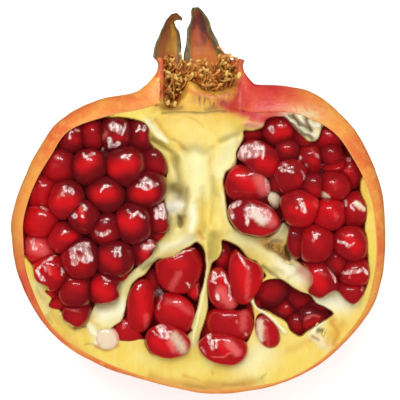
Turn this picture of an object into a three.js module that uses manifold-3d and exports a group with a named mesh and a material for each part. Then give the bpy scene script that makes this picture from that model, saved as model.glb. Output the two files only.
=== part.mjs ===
// Half a pomegranate, cut lengthwise through its crown, lying on the round back of its rind.
// Millimetres. +Z is up, out of the cut face; +Y runs along the fruit's own axis to the crown.
// The origin is the middle of the small flat spot that the fruit rests on.
import * as THREE from 'three';
import { mergeVertices } from 'three/addons/utils/BufferGeometryUtils.js';
import Module from 'manifold-3d';

// ---- driving dimensions -----------------------------------------------------------------------
const WIDEST = 37.5;         // height of the widest section above the surface it rests on
const BACK_DEPTH = 38;       // how far the round back would reach below the widest section
const BACK_FULLNESS = 0.85;  // under 1 is fuller than an ellipsoid
const REST_ANGLE = 80;       // degrees round the back where the flat resting spot begins
const RIM_SWEEP = 75;        // degrees that the skin turns inward between widest line and cut edge
const MEMBRANE_TOP = 1.6;    // cut membranes above the widest section, at the middle
const AROUND = 64;           // points round the outline
const GAP = 0.3;             // clear space between separate pieces
const FULLNESS = 2.5;        // 2 makes an aril a plain egg, more makes it blunter
const TAPER = 0.25;          // how much narrower an aril's inner end is
const PLUMP = 1.08;          // arils are this much wider than they lie apart, so they press flat

// Outline at the widest section: [x, y, skin seen past the cut, height of the cut edge above it]
const OUTLINE = [
  [-40, 1.1, 2.4, 7], [-39.6, 6.5, 2.5, 7.4], [-37.4, 12.9, 2.6, 7.6], [-34.2, 19.4, 2.8, 7.6],
  [-29.9, 25.4, 2.8, 7.4], [-21.3, 29.5, 3.4, 7], [-14.8, 30.7, 3, 5], [-7.3, 31.2, 2, 2.4],
  [0, 31.6, 1.6, 1.4], [6.7, 32.3, 3, 3], [13.5, 33.1, 6, 6.4], [22.8, 31.4, 5, 7],
  [30.3, 25.8, 3, 6.4], [35, 19, 2.4, 6], [38.9, 9.7, 2.2, 5.8], [40, -1.1, 2, 5.4],
  [38.9, -8.6, 1.4, 4], [35.8, -16, 0.9, 2.4], [28.2, -24.7, 0.7, 1.2], [18.5, -30.2, 0.6, 0.8],
  [5.6, -32.9, 0.6, 0.8], [-5.2, -31.6, 0.6, 0.8], [-21.3, -26.7, 0.6, 0.8],
  [-32, -19.4, 0.8, 1.4], [-38.1, -8.6, 1.4, 4],
];

// Chambers between the membranes: floor below the widest section, then the outline of each.
const CHAMBERS = {
  left: { floor: 5, edge: [
    [-29.5, 23], [-26.4, 24.5], [-21.9, 25.4], [-17, 25.8], [-13.1, 25.4], [-10.8, 23.9],
    [-10.3, 21.1], [-8.2, 19.4], [-6.9, 16.8], [-7.3, 12.9], [-7.3, 7.5], [-6.7, 2.6],
    [-8.8, -0.6], [-11.2, -3.4], [-14.8, -6.7], [-17.2, -9.5], [-17.6, -12.9], [-22.1, -13.8],
    [-23.6, -17.2], [-26.4, -18.1], [-29.9, -15.9], [-32.2, -14.2], [-31.8, -10.8],
    [-34.6, -9], [-35.5, -5.6], [-36.6, -3.4], [-36.8, 1.7], [-36.4, 6.9], [-35.1, 11.2],
    [-32.8, 15.7], [-30.6, 19.8],
  ] },
  lower_left: { floor: 6, edge: [
    [-0.4, -0.4], [-2.8, -2.1], [-6, -3.9], [-9.2, -4.5], [-11.8, -7.3], [-14.4, -9.5],
    [-15.5, -12.5], [-15.7, -16.8], [-19.1, -18.5], [-22.8, -19.6], [-22.8, -21.9],
    [-20.4, -23.4], [-17, -22.8], [-12, -21.9], [-10.5, -24.3], [-6.9, -25.2], [-3.4, -24.5],
    [-1.7, -22.8], [-1.5, -18.9], [-0.9, -15], [-0.6, -12], [0, -8.2], [0.9, -4.7], [0.6, -1.3],
  ] },
  lower_right: { floor: 6, edge: [
    [4.9, -0.4], [8, -1.3], [10.5, -3.2], [13.1, -5.6], [13.5, -8.2], [12.3, -10.8],
    [11.4, -12.9], [13.5, -15.5], [16.8, -18.5], [17.2, -21.9], [15.7, -23], [13.5, -22.6],
    [10.8, -21.1], [9.7, -24.1], [8.4, -26.4], [4.9, -26.4], [1.5, -25.2], [-0.2, -22.6],
    [1.1, -18.1], [2.1, -14.2], [1.9, -9.5], [2.8, -5.6], [4.7, -4.7],
  ] },
  right: { floor: 5, edge: [
    [9.7, 23.4], [14.4, 24.2], [17.2, 25.6], [20.2, 25], [22.4, 21.9], [25.2, 23.6],
    [27.4, 24.6], [29.6, 22.8], [31.2, 19.4], [33.8, 16.6], [34.8, 12.5], [34.8, 9],
    [35.7, 6], [35.3, 2.1], [35.5, -2.6], [36, -6.5], [35.4, -10.8], [33.1, -13.5],
    [30.5, -11.4], [28.2, -11], [25.8, -12.3], [23, -11.4], [24.3, -8.8], [23.4, -6],
    [21.3, -3.9], [19.1, -1.3], [18.9, 1.7], [17.6, 4.1], [17, 1.7], [13.5, 0.4], [9.2, 1.5],
    [6.7, 3.4], [5.6, 8.2], [5.2, 11.8], [6.5, 14.6], [8.2, 15.5], [8, 18.9],
  ] },
  pocket: { floor: 11, edge: [
    [13.8, -9.7], [15.3, -8.8], [18.1, -8.8], [20.9, -10.8], [22.2, -12.6], [25.6, -14.1],
    [28.6, -15.3], [26.4, -17.4], [23.6, -19.6], [21.3, -20.9], [19.1, -18.8], [16.1, -16.2],
    [13.8, -13.6],
  ] },
};

// Arils (seeds in their juice sacs), by chamber: [x, y, top above the widest section, half width,
// half length, heading of the long axis in degrees from +X, its slope (90 stands on end)]
const ARILS = {
  left: [
    [-26.9, 21.9, 7, 2.9, 5, 180, 84], [-22.6, 22.4, 7.2, 2.7, 5, 100, 84],
    [-18.3, 22.6, 7.8, 3.3, 5.2, 90, 84], [-12.7, 22.4, 6, 2.7, 4.8, 60, 80],
    [-29.5, 16, 7.2, 3.2, 5.2, 150, 80], [-23.4, 15.5, 8.4, 3.4, 5.3, 120, 86],
    [-15.9, 15.9, 8.2, 3.8, 5.3, 80, 86], [-9.9, 16.6, 5, 3.1, 5, 40, 78],
    [-33, 10.2, 6.6, 3.2, 5.2, 170, 76], [-28.2, 8.2, 8.6, 3.2, 5.2, 75, 58],
    [-20, 9.7, 8.6, 3.5, 5.3, 90, 86], [-11.4, 10.8, 7.2, 3.7, 5.3, 20, 82],
    [-33.5, 4.1, 6.6, 3.1, 4.8, 180, 60], [-24.7, 5.2, 9, 3.2, 5.3, 0, 86],
    [-14.4, 3.7, 8, 3.7, 5.3, 0, 86], [-8.4, 4.5, 5.6, 2.7, 4.8, 90, 52],
    [-20, 2.4, 8.2, 3, 5.2, 0, 86], [-33.6, -2.1, 5.8, 3.3, 5, 190, 74],
    [-28.6, 0.6, 8, 3, 5.2, 180, 84], [-24.9, -3.9, 8.8, 3.5, 5.3, 250, 82],
    [-18.5, -3.7, 8.2, 3.7, 5.3, 270, 84], [-11, -2.4, 5.4, 2.8, 4.8, 300, 78],
    [-31.6, -6.5, 6.8, 3.5, 5, 210, 72], [-26, -10.5, 6.4, 3.4, 5, 240, 76],
    [-20.2, -10.3, 7, 3.2, 5, 270, 80], [-26.4, -15.5, 4, 2.7, 4.4, 250, 62],
  ],
  middle: [
    [12.7, 17.4, 5.4, 3.7, 4.8, -25, 25], [10.3, 12.3, 5, 3.4, 5.5, -8, 10],
    [11.8, 4.7, 7, 4.2, 5.9, -8, 6],
  ],
  right: [
    [17.4, 23.2, 5.6, 3.1, 5, 90, 76], [27.5, 21.2, 5.6, 3, 5, 60, 80],
    [24.1, 17.4, 6.6, 3.1, 5.2, 0, 84], [19.6, 13.8, 7.4, 3.5, 5.2, 0, 80],
    [28.4, 16.6, 6.2, 3, 5.2, 0, 86], [31.6, 14.5, 5.2, 2.9, 5, 20, 80],
    [28.4, 11.2, 7.4, 3.3, 5.2, 0, 84], [21.7, 7.1, 8.2, 3.4, 5.2, 5, 58],
    [27.7, 5.8, 8, 3.3, 5.2, 0, 82], [32.9, 6.5, 6.4, 3.2, 5, 0, 74],
    [25.4, -0.4, 7.4, 3.5, 5.2, 270, 70], [32, -0.9, 7.2, 3.7, 5.2, 0, 76],
    [25.6, -8.4, 5.6, 3.7, 5, 270, 60], [33.1, -6.9, 6, 3.1, 5, 0, 70],
    [32.5, -11.2, 4.6, 3.1, 4.8, -60, 64],
  ],
  pocket: [
    [15.7, -11, -1.5, 2.9, 4.4, 160, 40], [18.7, -15.3, -2.5, 2.8, 4.4, 0, 70],
    [24.3, -17.4, -1.5, 2.8, 4.4, -10, 40],
  ],
  lower_left: [
    [-12.9, -14.4, 2.4, 2.8, 6.2, 86, 4], [-4.9, -6.9, 3.2, 4, 5.2, 62, 18],
    [-4.7, -15.3, 2.6, 3.8, 4.6, -20, 14], [-6.9, -21.5, 4.2, 3.4, 5, -5, 4],
    [-15.9, -19.6, 0.8, 2.7, 4.2, -10, 8], [-20, -21.1, 1.8, 2.4, 3.2, -15, 4],
  ],
  lower_right: [
    [9.5, -7.7, 3.8, 3.4, 5.6, 86, 8], [4.9, -10.8, 2.8, 3.1, 5, 118, 10],
    [6.7, -17.6, 2.6, 3.6, 4.8, -20, 8], [4.9, -23.4, 4.2, 3.1, 5.4, -8, 4],
    [14.8, -19.4, 2.4, 2.4, 4, -66, 6],
  ],
};

// Crown, turned about the fruit's axis: [radius, y]
const CROWN_OUTSIDE = [[0, 20], [12, 24], [13, 28.5], [10.9, 31.6], [9.6, 34.4], [9, 37], [9.4, 39.2],
  [0, 39.2]];
const CROWN_CUP = [[0, 27.5], [6.2, 27.6], [7.2, 29.6], [7.3, 36], [7.8, 41], [0, 41]];
const STYLE_MOUND = [[0, 26], [4.4, 26.4], [3.2, 28.6], [1.5, 31.4], [0.5, 32.7], [0, 32.8]];
const CROWN_CUT = 1.2;       // the crown is cut this far above the widest section
const SEPALS = {             // each step up: [y, angle round the crown, half angle, radius, thickness]
  left: [[37.6, 146, 33, 8.4, 1.6], [41, 146, 31, 9.2, 1.5], [44, 144, 24, 9, 1.4],
    [46.8, 142, 15, 7.8, 1.2], [48.6, 138, 8, 6, 1]],
  back: [[37.6, 83, 32, 8.4, 1.6], [41.5, 85, 27, 9.6, 1.5], [45, 89, 19, 9.9, 1.4],
    [48, 94, 11, 9.4, 1.2], [50.3, 98, 4, 8.4, 1]],
  right_broken: [[37.6, 22, 28, 8.4, 1.6], [39.4, 22, 24, 8.8, 1.5], [40.6, 20, 12, 9, 1.2]],
};

// Dried stamens inside the crown
const STAMEN_RING = { radius: 6.1, tube: 0.75, y: 31.4 };
const STAMENS = 11;
const STAMEN_THICK = 0.45;
const ANTHER_RADIUS = 0.85;

// ---- small helpers ----------------------------------------------------------------------------
const wasm = await Module();
wasm.setup();
const radians = THREE.MathUtils.degToRad;

// A three.js geometry as a solid that can be joined and cut.
function solid(geometry) {
  const bare = geometry.clone();
  bare.deleteAttribute('normal');
  bare.deleteAttribute('uv');
  const merged = mergeVertices(bare, 1e-4);
  const vertProperties = new Float32Array(merged.attributes.position.array);
  const triVerts = new Uint32Array(merged.index.array);
  return new wasm.Manifold(new wasm.Mesh({ numProp: 3, vertProperties, triVerts }));
}

// The largest body of a solid, as a three.js geometry.
function geometryOf(body) {
  const pieces = body.decompose().sort((a, b) => b.volume() - a.volume());
  const mesh = pieces[0].getMesh();
  const geometry = new THREE.BufferGeometry();
  geometry.setAttribute('position', new THREE.BufferAttribute(mesh.vertProperties, 3));
  geometry.setIndex(new THREE.BufferAttribute(mesh.triVerts, 1));
  return geometry;
}

// A closed skin through rings that each have the same number of points, with a middle at each end.
function skin(rings, first, last) {
  const count = rings[0].length;
  const points = [first, ...rings.flat(), last];
  const index = [];
  for (let i = 0; i < count; i += 1) {
    const next = (i + 1) % count;
    index.push(0, 1 + next, 1 + i);
    for (let r = 0; r < rings.length - 1; r += 1) {
      const a = 1 + r * count + i;
      const b = 1 + r * count + next;
      index.push(a, b, b + count, a, b + count, a + count);
    }
    const top = 1 + (rings.length - 1) * count;
    index.push(top + i, top + next, points.length - 1);
  }
  const geometry = new THREE.BufferGeometry().setFromPoints(points);
  geometry.setIndex(index);
  return geometry;
}

const middleOf = (ring) => ring.reduce((sum, p) => sum.add(p), new THREE.Vector3())
  .divideScalar(ring.length);

// Everything lower than the given height, over the whole fruit
function below(height) {
  return solid(new THREE.BoxGeometry(120, 140, 100).translate(0, 0, height - 50));
}

// ---- husk: rind, pith, membranes and crown, grown as one piece ---------------------------------
function body() {
  const outline = new THREE.CatmullRomCurve3(
    OUTLINE.map(([x, y]) => new THREE.Vector3(x, y, 0)), true);
  const rim = new THREE.CatmullRomCurve3(
    OUTLINE.map(([, , band, rise]) => new THREE.Vector3(band, rise, 0)), true);
  const around = Array.from({ length: AROUND }, (_, i) => ({
    at: outline.getPoint(i / AROUND), cut: rim.getPoint(i / AROUND),
  })).reverse();

  const ring = (place) => around.map(place);
  const back = (degrees) => {
    const reach = Math.cos(radians(degrees)) ** BACK_FULLNESS;
    const sunk = BACK_DEPTH * Math.sin(radians(degrees)) ** BACK_FULLNESS;
    const height = degrees === REST_ANGLE ? 0 : WIDEST - sunk;
    return ring(({ at }) => new THREE.Vector3(at.x * reach, at.y * reach, height));
  };
  const edge = (degrees) => {
    const inset = (1 - Math.cos(radians(degrees))) / (1 - Math.cos(radians(RIM_SWEEP)));
    const rise = Math.sin(radians(degrees)) / Math.sin(radians(RIM_SWEEP));
    return ring(({ at, cut }) => {
      const scale = 1 - (cut.x * inset) / at.length();
      return new THREE.Vector3(at.x * scale, at.y * scale, WIDEST + cut.y * rise);
    });
  };
  const face = (share) => {
    const blend = THREE.MathUtils.smoothstep(share, 0.55, 0.95);
    return ring(({ at, cut }) => {
      const scale = share * (1 - cut.x / at.length());
      const height = THREE.MathUtils.lerp(MEMBRANE_TOP, cut.y, blend);
      return new THREE.Vector3(at.x * scale, at.y * scale, WIDEST + height);
    });
  };
  const rings = [
    ...[REST_ANGLE, 68, 56, 44, 32, 20, 9].map(back),
    ...[0, 28, 54, RIM_SWEEP].map(edge),
    ...[0.92, 0.78, 0.62, 0.35].map(face),
  ];
  const spot = new THREE.Vector3(0, 0, 0);
  const middle = new THREE.Vector3(0, 0, WIDEST + MEMBRANE_TOP);
  return solid(skin(rings, spot, middle));
}

function chamber({ floor, edge }) {
  const shape = new THREE.Shape(edge.map(([x, y]) => new THREE.Vector2(x, y)));
  const well = new THREE.ExtrudeGeometry(shape, { depth: 40, bevelEnabled: false });
  return solid(well.translate(0, 0, WIDEST - floor));
}

function turned(profile) {
  const points = profile.map(([radius, y]) => new THREE.Vector2(radius, y));
  return solid(new THREE.LatheGeometry(points, 28).translate(0, 0, WIDEST));
}

function sepal(steps) {
  const rings = steps.map(([y, angle, half, radius, thickness]) => {
    const place = (share, rho) => {
      const turn = radians(angle + half * share);
      return new THREE.Vector3(rho * Math.cos(turn), y, WIDEST - rho * Math.sin(turn));
    };
    const shares = [-1, -0.5, 0, 0.5, 1];
    return [
      ...shares.map((share) => place(share, radius + thickness / 2)),
      ...shares.reverse().map((share) => place(share, radius - thickness / 2)),
    ];
  });
  return solid(skin(rings, middleOf(rings[0]), middleOf(rings.at(-1))));
}

// ---- arils: each is an egg shape pressed flat where it meets its neighbours --------------------
const arils = Object.entries(ARILS).flatMap(([chamberName, rows]) => rows.map((row, i) => {
  const [x, y, top, wide, long, heading, slope] = row;
  const turn = new THREE.Quaternion().setFromEuler(
    new THREE.Euler(0, -radians(slope), radians(heading), 'ZYX'));
  const tall = Math.hypot(long * Math.sin(radians(slope)), wide * Math.cos(radians(slope)));
  const centre = new THREE.Vector3(x, y, WIDEST + top - tall);
  return {
    name: `aril_${chamberName}_${String(i + 1).padStart(2, '0')}`,
    centre, wide: wide * PLUMP, long, turn,
  };
}));

// Distance from an aril's middle to its free surface in a direction
function reach(aril, direction) {
  const local = direction.clone().applyQuaternion(aril.turn.clone().invert());
  const wide = aril.wide / (1 + TAPER * Math.max(0, -local.x));
  const shares = [local.x / aril.long, local.y / wide, local.z / wide];
  const sum = shares.reduce((total, share) => total + Math.abs(share) ** FULLNESS, 0);
  return sum ** (-1 / FULLNESS);
}

function arilGeometry(aril, extra = 0) {
  const flats = arils.filter((other) => other !== aril).map((other) => {
    const normal = other.centre.clone().sub(aril.centre);
    const apart = normal.length();
    normal.normalize();
    const mine = reach(aril, normal);
    const theirs = reach(other, normal.clone().negate());
    return { normal, limit: (apart * mine) / (mine + theirs) - GAP / 2 };
  }).filter(({ limit }) => limit < 9);
  const geometry = mergeVertices(stripped(new THREE.IcosahedronGeometry(1, 1)));
  const position = geometry.attributes.position;
  for (let i = 0; i < position.count; i += 1) {
    const direction = new THREE.Vector3().fromBufferAttribute(position, i).normalize();
    let radius = reach(aril, direction);
    for (const { normal, limit } of flats) {
      const facing = direction.dot(normal);
      if (facing > 0) radius = Math.min(radius, limit / facing);
    }
    direction.multiplyScalar(radius + extra).add(aril.centre);
    position.setXYZ(i, direction.x, direction.y, direction.z);
  }
  return geometry;
}

function stripped(geometry) {
  geometry.deleteAttribute('normal');
  geometry.deleteAttribute('uv');
  return geometry;
}

function husk() {
  let whole = body().add(turned(CROWN_OUTSIDE).intersect(below(WIDEST + CROWN_CUT)));
  whole = whole.subtract(turned(CROWN_CUP));
  const mound = turned(STYLE_MOUND).translate([-0.8, 0, 0]);
  whole = whole.add(mound.intersect(below(WIDEST + CROWN_CUT)));
  for (const steps of Object.values(SEPALS)) whole = whole.add(sepal(steps));
  for (const well of Object.values(CHAMBERS)) whole = whole.subtract(chamber(well));
  for (const aril of arils) whole = whole.subtract(solid(arilGeometry(aril, GAP)));
  return geometryOf(whole);
}

// ---- stamens: a ring of dried threads with curled tips, joined at their foot -------------------
function stamens() {
  const { radius, tube, y } = STAMEN_RING;
  const ring = new THREE.TorusGeometry(radius, tube, 5, 24).rotateX(Math.PI / 2);
  let tuft = solid(ring.translate(0, y, WIDEST));
  for (let i = 0; i < STAMENS; i += 1) {
    const turn = radians(12 + (156 * i) / (STAMENS - 1));
    const height = 5.2 + 1.6 * Math.sin(i * 2.3);
    const curl = 1.6 + 0.9 * Math.sin(i * 1.7);
    const place = (rho, up) => new THREE.Vector3(
      rho * Math.cos(turn), y + up, WIDEST - rho * Math.sin(turn));
    const path = new THREE.QuadraticBezierCurve3(
      place(radius, 0), place(radius, height * 0.7), place(radius - curl, height));
    const section = new THREE.Shape().absarc(0, 0, STAMEN_THICK, 0, 2 * Math.PI);
    const thread = new THREE.ExtrudeGeometry(section, {
      steps: 3, curveSegments: 3, bevelEnabled: false, extrudePath: path });
    const tip = new THREE.IcosahedronGeometry(ANTHER_RADIUS, 0);
    const end = place(radius - curl, height);
    tuft = tuft.add(solid(thread)).add(solid(tip.translate(end.x, end.y, end.z)));
  }
  return geometryOf(tuft.intersect(below(WIDEST + CROWN_CUT)));
}

// ---- assembly ---------------------------------------------------------------------------------
const RIND = new THREE.MeshStandardMaterial({ color: 0xd9702f, roughness: 0.5, metalness: 0 });
const ARIL = new THREE.MeshStandardMaterial({ color: 0xa80d1c, roughness: 0.12, metalness: 0 });
const STAMEN = new THREE.MeshStandardMaterial({ color: 0xc98f35, roughness: 0.8, metalness: 0 });

const group = new THREE.Group();
function add(name, geometry, material) {
  const mesh = new THREE.Mesh(geometry, material);
  mesh.name = name;
  group.add(mesh);
}

add('husk', husk(), RIND);
add('stamens', stamens(), STAMEN);
for (const aril of arils) add(aril.name, arilGeometry(aril), ARIL);

export default group;
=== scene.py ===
import math

import bmesh
import bpy
import numpy as np
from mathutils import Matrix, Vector, noise


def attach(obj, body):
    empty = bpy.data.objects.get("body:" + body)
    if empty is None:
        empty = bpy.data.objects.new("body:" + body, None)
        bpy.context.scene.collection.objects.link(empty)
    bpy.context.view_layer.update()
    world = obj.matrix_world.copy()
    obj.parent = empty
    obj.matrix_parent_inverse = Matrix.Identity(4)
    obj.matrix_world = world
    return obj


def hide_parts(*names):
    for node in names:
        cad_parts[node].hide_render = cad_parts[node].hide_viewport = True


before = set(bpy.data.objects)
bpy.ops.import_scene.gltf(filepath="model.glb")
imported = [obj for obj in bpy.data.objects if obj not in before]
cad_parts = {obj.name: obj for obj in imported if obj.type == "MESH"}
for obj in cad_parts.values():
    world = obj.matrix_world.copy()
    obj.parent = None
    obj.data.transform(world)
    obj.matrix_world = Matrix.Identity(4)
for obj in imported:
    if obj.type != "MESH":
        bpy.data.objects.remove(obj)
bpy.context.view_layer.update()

# ==== Studio ======================================================================================
# The half lies cut face up on a pale table and is seen from straight above through a long lens.
# A white sky lights it from all round, and a window beyond the crown gives the wet highlights.
MM = 0.001
WIDEST = 37.5                 # height of the fruit's widest section above the table
VIEW_CENTRE = (0.2, 8.6)
VIEW_WIDTH = 86.0
CAMERA_RISE = 550.0
SENSOR = 36.0
LENS_REACH = 10.0             # metres
SKY = 1.35
BRIGHTNESS = 1.75             # light on a level surface, as a multiple of a plain white one
WINDOW_LEAN = 43.0            # degrees from straight above, towards the crown
WINDOW_AWAY = 600.0
WINDOW_PANE = (150.0, 95.0)
WINDOW_GAP = 26.0             # the bar between its two panes
WINDOW_POWER = 1.0
SOFT_PANEL_AT = (-60, 260, 600)
SOFT_PANEL = (300, 300)
SOFT_POWER = 2.4
TABLE_HALF = 1500


def tint(red, green, blue, brightness=BRIGHTNESS):
    """A colour as it looks on a screen in this light, 0 to 255, for a shader."""
    def linear(value):
        value /= 255
        return value / 12.92 if value <= 0.04045 else ((value + 0.055) / 1.055) ** 2.4
    return (linear(red) / brightness, linear(green) / brightness, linear(blue) / brightness, 1.0)


class Wire:
    """A shader socket that takes part in Python arithmetic: each operator adds its Math node."""

    def __init__(self, paint, socket):
        self.paint = paint
        self.socket = socket

    def math(self, operation, *values, clamp=False):
        settings = {"operation": operation, "use_clamp": clamp}
        return self.paint.node("Math", settings, dict(enumerate(values)))

    def __add__(self, other):
        return self.math("ADD", self, other)

    def __mul__(self, other):
        return self.math("MULTIPLY", self, other)

    def __sub__(self, other):
        return self.math("SUBTRACT", self, other)

    def __rsub__(self, other):
        return self.math("SUBTRACT", other, self)

    __rmul__ = __mul__

    def between(self, low, high):
        """0 below low, 1 above high, and smooth from one to the other."""
        return self.paint.node("MapRange", {"interpolation_type": "SMOOTHSTEP"},
                               {"Value": self, "From Min": low, "From Max": high})

    def clamp(self):
        return self.math("ADD", self, 0.0, clamp=True)

    def mix(self, without, covered):
        """The colour without this mask, turning to the covered colour where the mask is 1."""
        return self.paint.node("Mix", {"data_type": "RGBA"}, {0: self, 6: without, 7: covered}, 2)


class Paint:
    """A material under construction, with one method that adds any node."""

    def __init__(self, name):
        self.material = bpy.data.materials.new(name)
        self.material.use_nodes = True
        self.tree = self.material.node_tree
        self.tree.nodes.clear()

    def node(self, kind, settings=None, sockets=None, out=0):
        made = self.tree.nodes.new("ShaderNode" + kind)
        for key, value in (settings or {}).items():
            setattr(made, key, value)
        for key, value in (sockets or {}).items():
            if isinstance(value, Wire):
                self.tree.links.new(value.socket, made.inputs[key])
            else:
                made.inputs[key].default_value = value
        return Wire(self, made.outputs[out])

    def place(self, stretch=(1, 1, 1)):
        """Where a point lies on the piece, in millimetres."""
        spot = self.node("TexCoord", None, None, "Object")
        scale = tuple(1 / MM / each for each in stretch)
        return self.node("VectorMath", {"operation": "MULTIPLY"}, {0: spot, 1: scale})

    def noise(self, size, detail=3.0, stretch=(1, 1, 1), rough=0.5):
        """Cloudy variation with patches about size millimetres across."""
        return self.node("TexNoise", None, {"Vector": self.place(stretch), "Scale": 1 / size,
                                            "Detail": detail, "Roughness": rough})

    def pores(self, size):
        return self.node("TexVoronoi", None, {"Vector": self.place(), "Scale": 1 / size})

    def mask(self, name):
        """A value painted on the points of the mesh."""
        return self.node("Attribute", {"attribute_name": name}, None, "Fac")

    def bump(self, height, depth):
        """Fine relief, depth millimetres high."""
        return self.node("Bump", None, {"Height": height, "Distance": depth * MM, "Strength": 1.0})

    def finish(self, **sockets):
        """The finished material, from the sockets of its shader."""
        shader = self.node("BsdfPrincipled", None,
                           {key.replace("_", " "): value for key, value in sockets.items()})
        surface = self.tree.nodes.new("ShaderNodeOutputMaterial").inputs["Surface"]
        self.tree.links.new(shader.socket, surface)
        return self.material


def shape(name, points, faces, material, masks=None):
    """A mesh object from points in millimetres, with a value at each point for every mask."""
    mesh = bpy.data.meshes.new(name)
    faces = faces.tolist() if isinstance(faces, np.ndarray) else faces
    mesh.from_pydata((np.asarray(points, float) * MM).tolist(), [], faces)
    for mask, values in (masks or {}).items():
        layer = mesh.attributes.new(mask, "FLOAT", "POINT")
        layer.data.foreach_set("value", np.asarray(values, np.float32).ravel())
    mesh.materials.append(material)
    mesh.polygons.foreach_set("use_smooth", [True] * len(mesh.polygons))
    mesh.update()
    made = bpy.data.objects.new(name, mesh)
    bpy.context.scene.collection.objects.link(made)
    return made


def panel(name, centre, aim, size, power, see_diffuse=True, see_gloss=True):
    """A flat lamp that faces a point, both in millimetres."""
    lamp = bpy.data.lights.new(name, "AREA")
    lamp.shape = "RECTANGLE"
    lamp.size = size[0] * MM
    lamp.size_y = size[1] * MM
    lamp.energy = power
    made = bpy.data.objects.new(name, lamp)
    made.location = Vector(centre) * MM
    made.rotation_euler = (Vector(aim) - Vector(centre)).to_track_quat("-Z", "Y").to_euler()
    made.visible_camera = False
    made.visible_diffuse = see_diffuse
    made.visible_glossy = see_gloss
    bpy.context.scene.collection.objects.link(made)


lens = bpy.data.cameras.new("camera")
lens.sensor_width = SENSOR
lens.lens = SENSOR * CAMERA_RISE / VIEW_WIDTH
lens.clip_end = LENS_REACH
camera = bpy.data.objects.new("camera", lens)
camera.location = (VIEW_CENTRE[0] * MM, VIEW_CENTRE[1] * MM, (WIDEST + CAMERA_RISE) * MM)
bpy.context.scene.collection.objects.link(camera)
bpy.context.scene.camera = camera
bpy.context.scene.view_settings.view_transform = "Standard"

world = bpy.data.worlds.new("sky")
world.use_nodes = True
world.node_tree.nodes["Background"].inputs["Color"].default_value = (1, 1, 1, 1)
world.node_tree.nodes["Background"].inputs["Strength"].default_value = SKY
world.cycles_visibility.glossy = False
bpy.context.scene.world = world

lean = math.radians(WINDOW_LEAN)
for side in (-1, 1):
    across = side * (WINDOW_PANE[0] + WINDOW_GAP) / 2
    panel("window_pane",
          (across, WINDOW_AWAY * math.sin(lean), WIDEST + WINDOW_AWAY * math.cos(lean)),
          (0, 0, WIDEST), WINDOW_PANE, WINDOW_POWER, see_diffuse=False)
panel("soft_panel", SOFT_PANEL_AT, (0, 0, WIDEST), SOFT_PANEL, SOFT_POWER, see_gloss=False)

table_paint = Paint("pale_table")
table = shape("table",
              [(TABLE_HALF * x, TABLE_HALF * y, 0) for x, y in ((-1, -1), (1, -1), (1, 1), (-1, 1))],
              [(0, 1, 2, 3)],
              table_paint.finish(Base_Color=tint(250, 250, 250, 1.0), Roughness=0.8,
                                 Specular_IOR_Level=0.1))
table.visible_glossy = False   # the wet skins would mirror all of it at their edges

# ==== Outer skin ==================================================================================
# The leathery skin, about half a millimetre thick, wraps the whole round back and turns in over
# the top to the knife's edge. It is orange with red blush, fine pores and a few brown scars.
BACK_DEPTH = 38.0
BACK_FULLNESS = 0.85
RIM_SWEEP = 75.0
SKIN_LIP = 0.35               # thickness of the skin where the knife cut it
AROUND = 720
CROWN_MIDDLE = 0.3            # the crown stands this far to the right
CROWN_HOLE = 8.75             # the skin is open inside this radius, under the crown
CROWN_FROM = 20               # y that all of the crown lies beyond
MOUTH_SNAP = 0.16             # points this near to the hole's edge are moved onto it
FLARE = (                     # distance from the crown's middle, y the skin is drawn up to there
    (8.75, 36.3), (9.5, 36), (10.5, 34.6), (11.7, 33.3), (13.2, 32.2), (15.4, 31), (17.9, 29.5),
    (21, 25), (30, 5),
)
BACK_SLANTS = (*np.linspace(89.5, 32, 34), *np.linspace(31, 0, 50))  # degrees below the widest
RIM_SLANTS = np.linspace(5, RIM_SWEEP, 18)
LIP_ROWS = ((0.25, -0.06), (0.6, -0.03), (1.0, 0.0), (1.02, 0.9))  # share of the lip, drop
LUMPS = ((0.55, 17, 0), (0.22, 6, 5), (0.05, 2, 9))  # height, size and seed of the skin's waves
STEM_AT = (1.0, -5.2)         # middle of the stem's scar: x, height above the widest section
STEM_RING = (1.8, 0.55, 1.5)  # its woody ring: radius, half width, height
STEM_DIP = (5, 1.7)           # the dip round it: radius, depth

GRID = 0.215                  # bulges, marks and lines are laid out in steps of this size

# Outline at the widest section: [x, y, skin seen past the cut, height of the cut edge above it]
OUTLINE = (
    (-40, 1.1, 2.4, 7), (-39.6, 6.5, 2.5, 7.4), (-37.4, 12.9, 2.6, 7.6), (-34.2, 19.4, 2.8, 7.6),
    (-29.9, 25.4, 2.8, 7.4), (-21.3, 29.5, 3.4, 7), (-14.8, 30.7, 3, 5), (-7.3, 31.2, 2, 2.4),
    (0, 31.6, 1.6, 1.4), (6.7, 32.3, 3, 3), (13.5, 33.1, 6, 6.4), (22.8, 31.4, 5, 7),
    (30.3, 25.8, 3, 6.4), (35, 19, 2.4, 6), (38.9, 9.7, 2.2, 5.8), (40, -1.1, 2, 5.4),
    (38.9, -8.6, 1.4, 4), (35.8, -16, 0.9, 2.4), (28.2, -24.7, 0.5, 1.2), (18.5, -30.2, 0.35, 0.8),
    (5.6, -32.9, 0.35, 0.8), (-5.2, -31.6, 0.35, 0.8), (-21.3, -26.7, 0.35, 0.8),
    (-32, -19.4, 0.6, 1.4), (-38.1, -8.6, 1.4, 4),
)
BULGE_EVERY = 15              # degrees, from the right through the crown
BULGES = (                    # steps that the fruit bulges past this outline, below 0 inside it
    0.5, 0.6, 4.5, 4.2, 3, 0, 0, 2.5, 3, 2.6, 2, 0.6, 0.5, 2.6, 0, -2.5, 0, 2.6, -2, 0, 1.8, 0.8,
    1.6, 1.6,
)
BULGE_SHOWN = 0.3             # a bulge of more than this shows as more skin past the cut,
HIGH_RIM = 3                  # where the cut edge is higher than this


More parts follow.
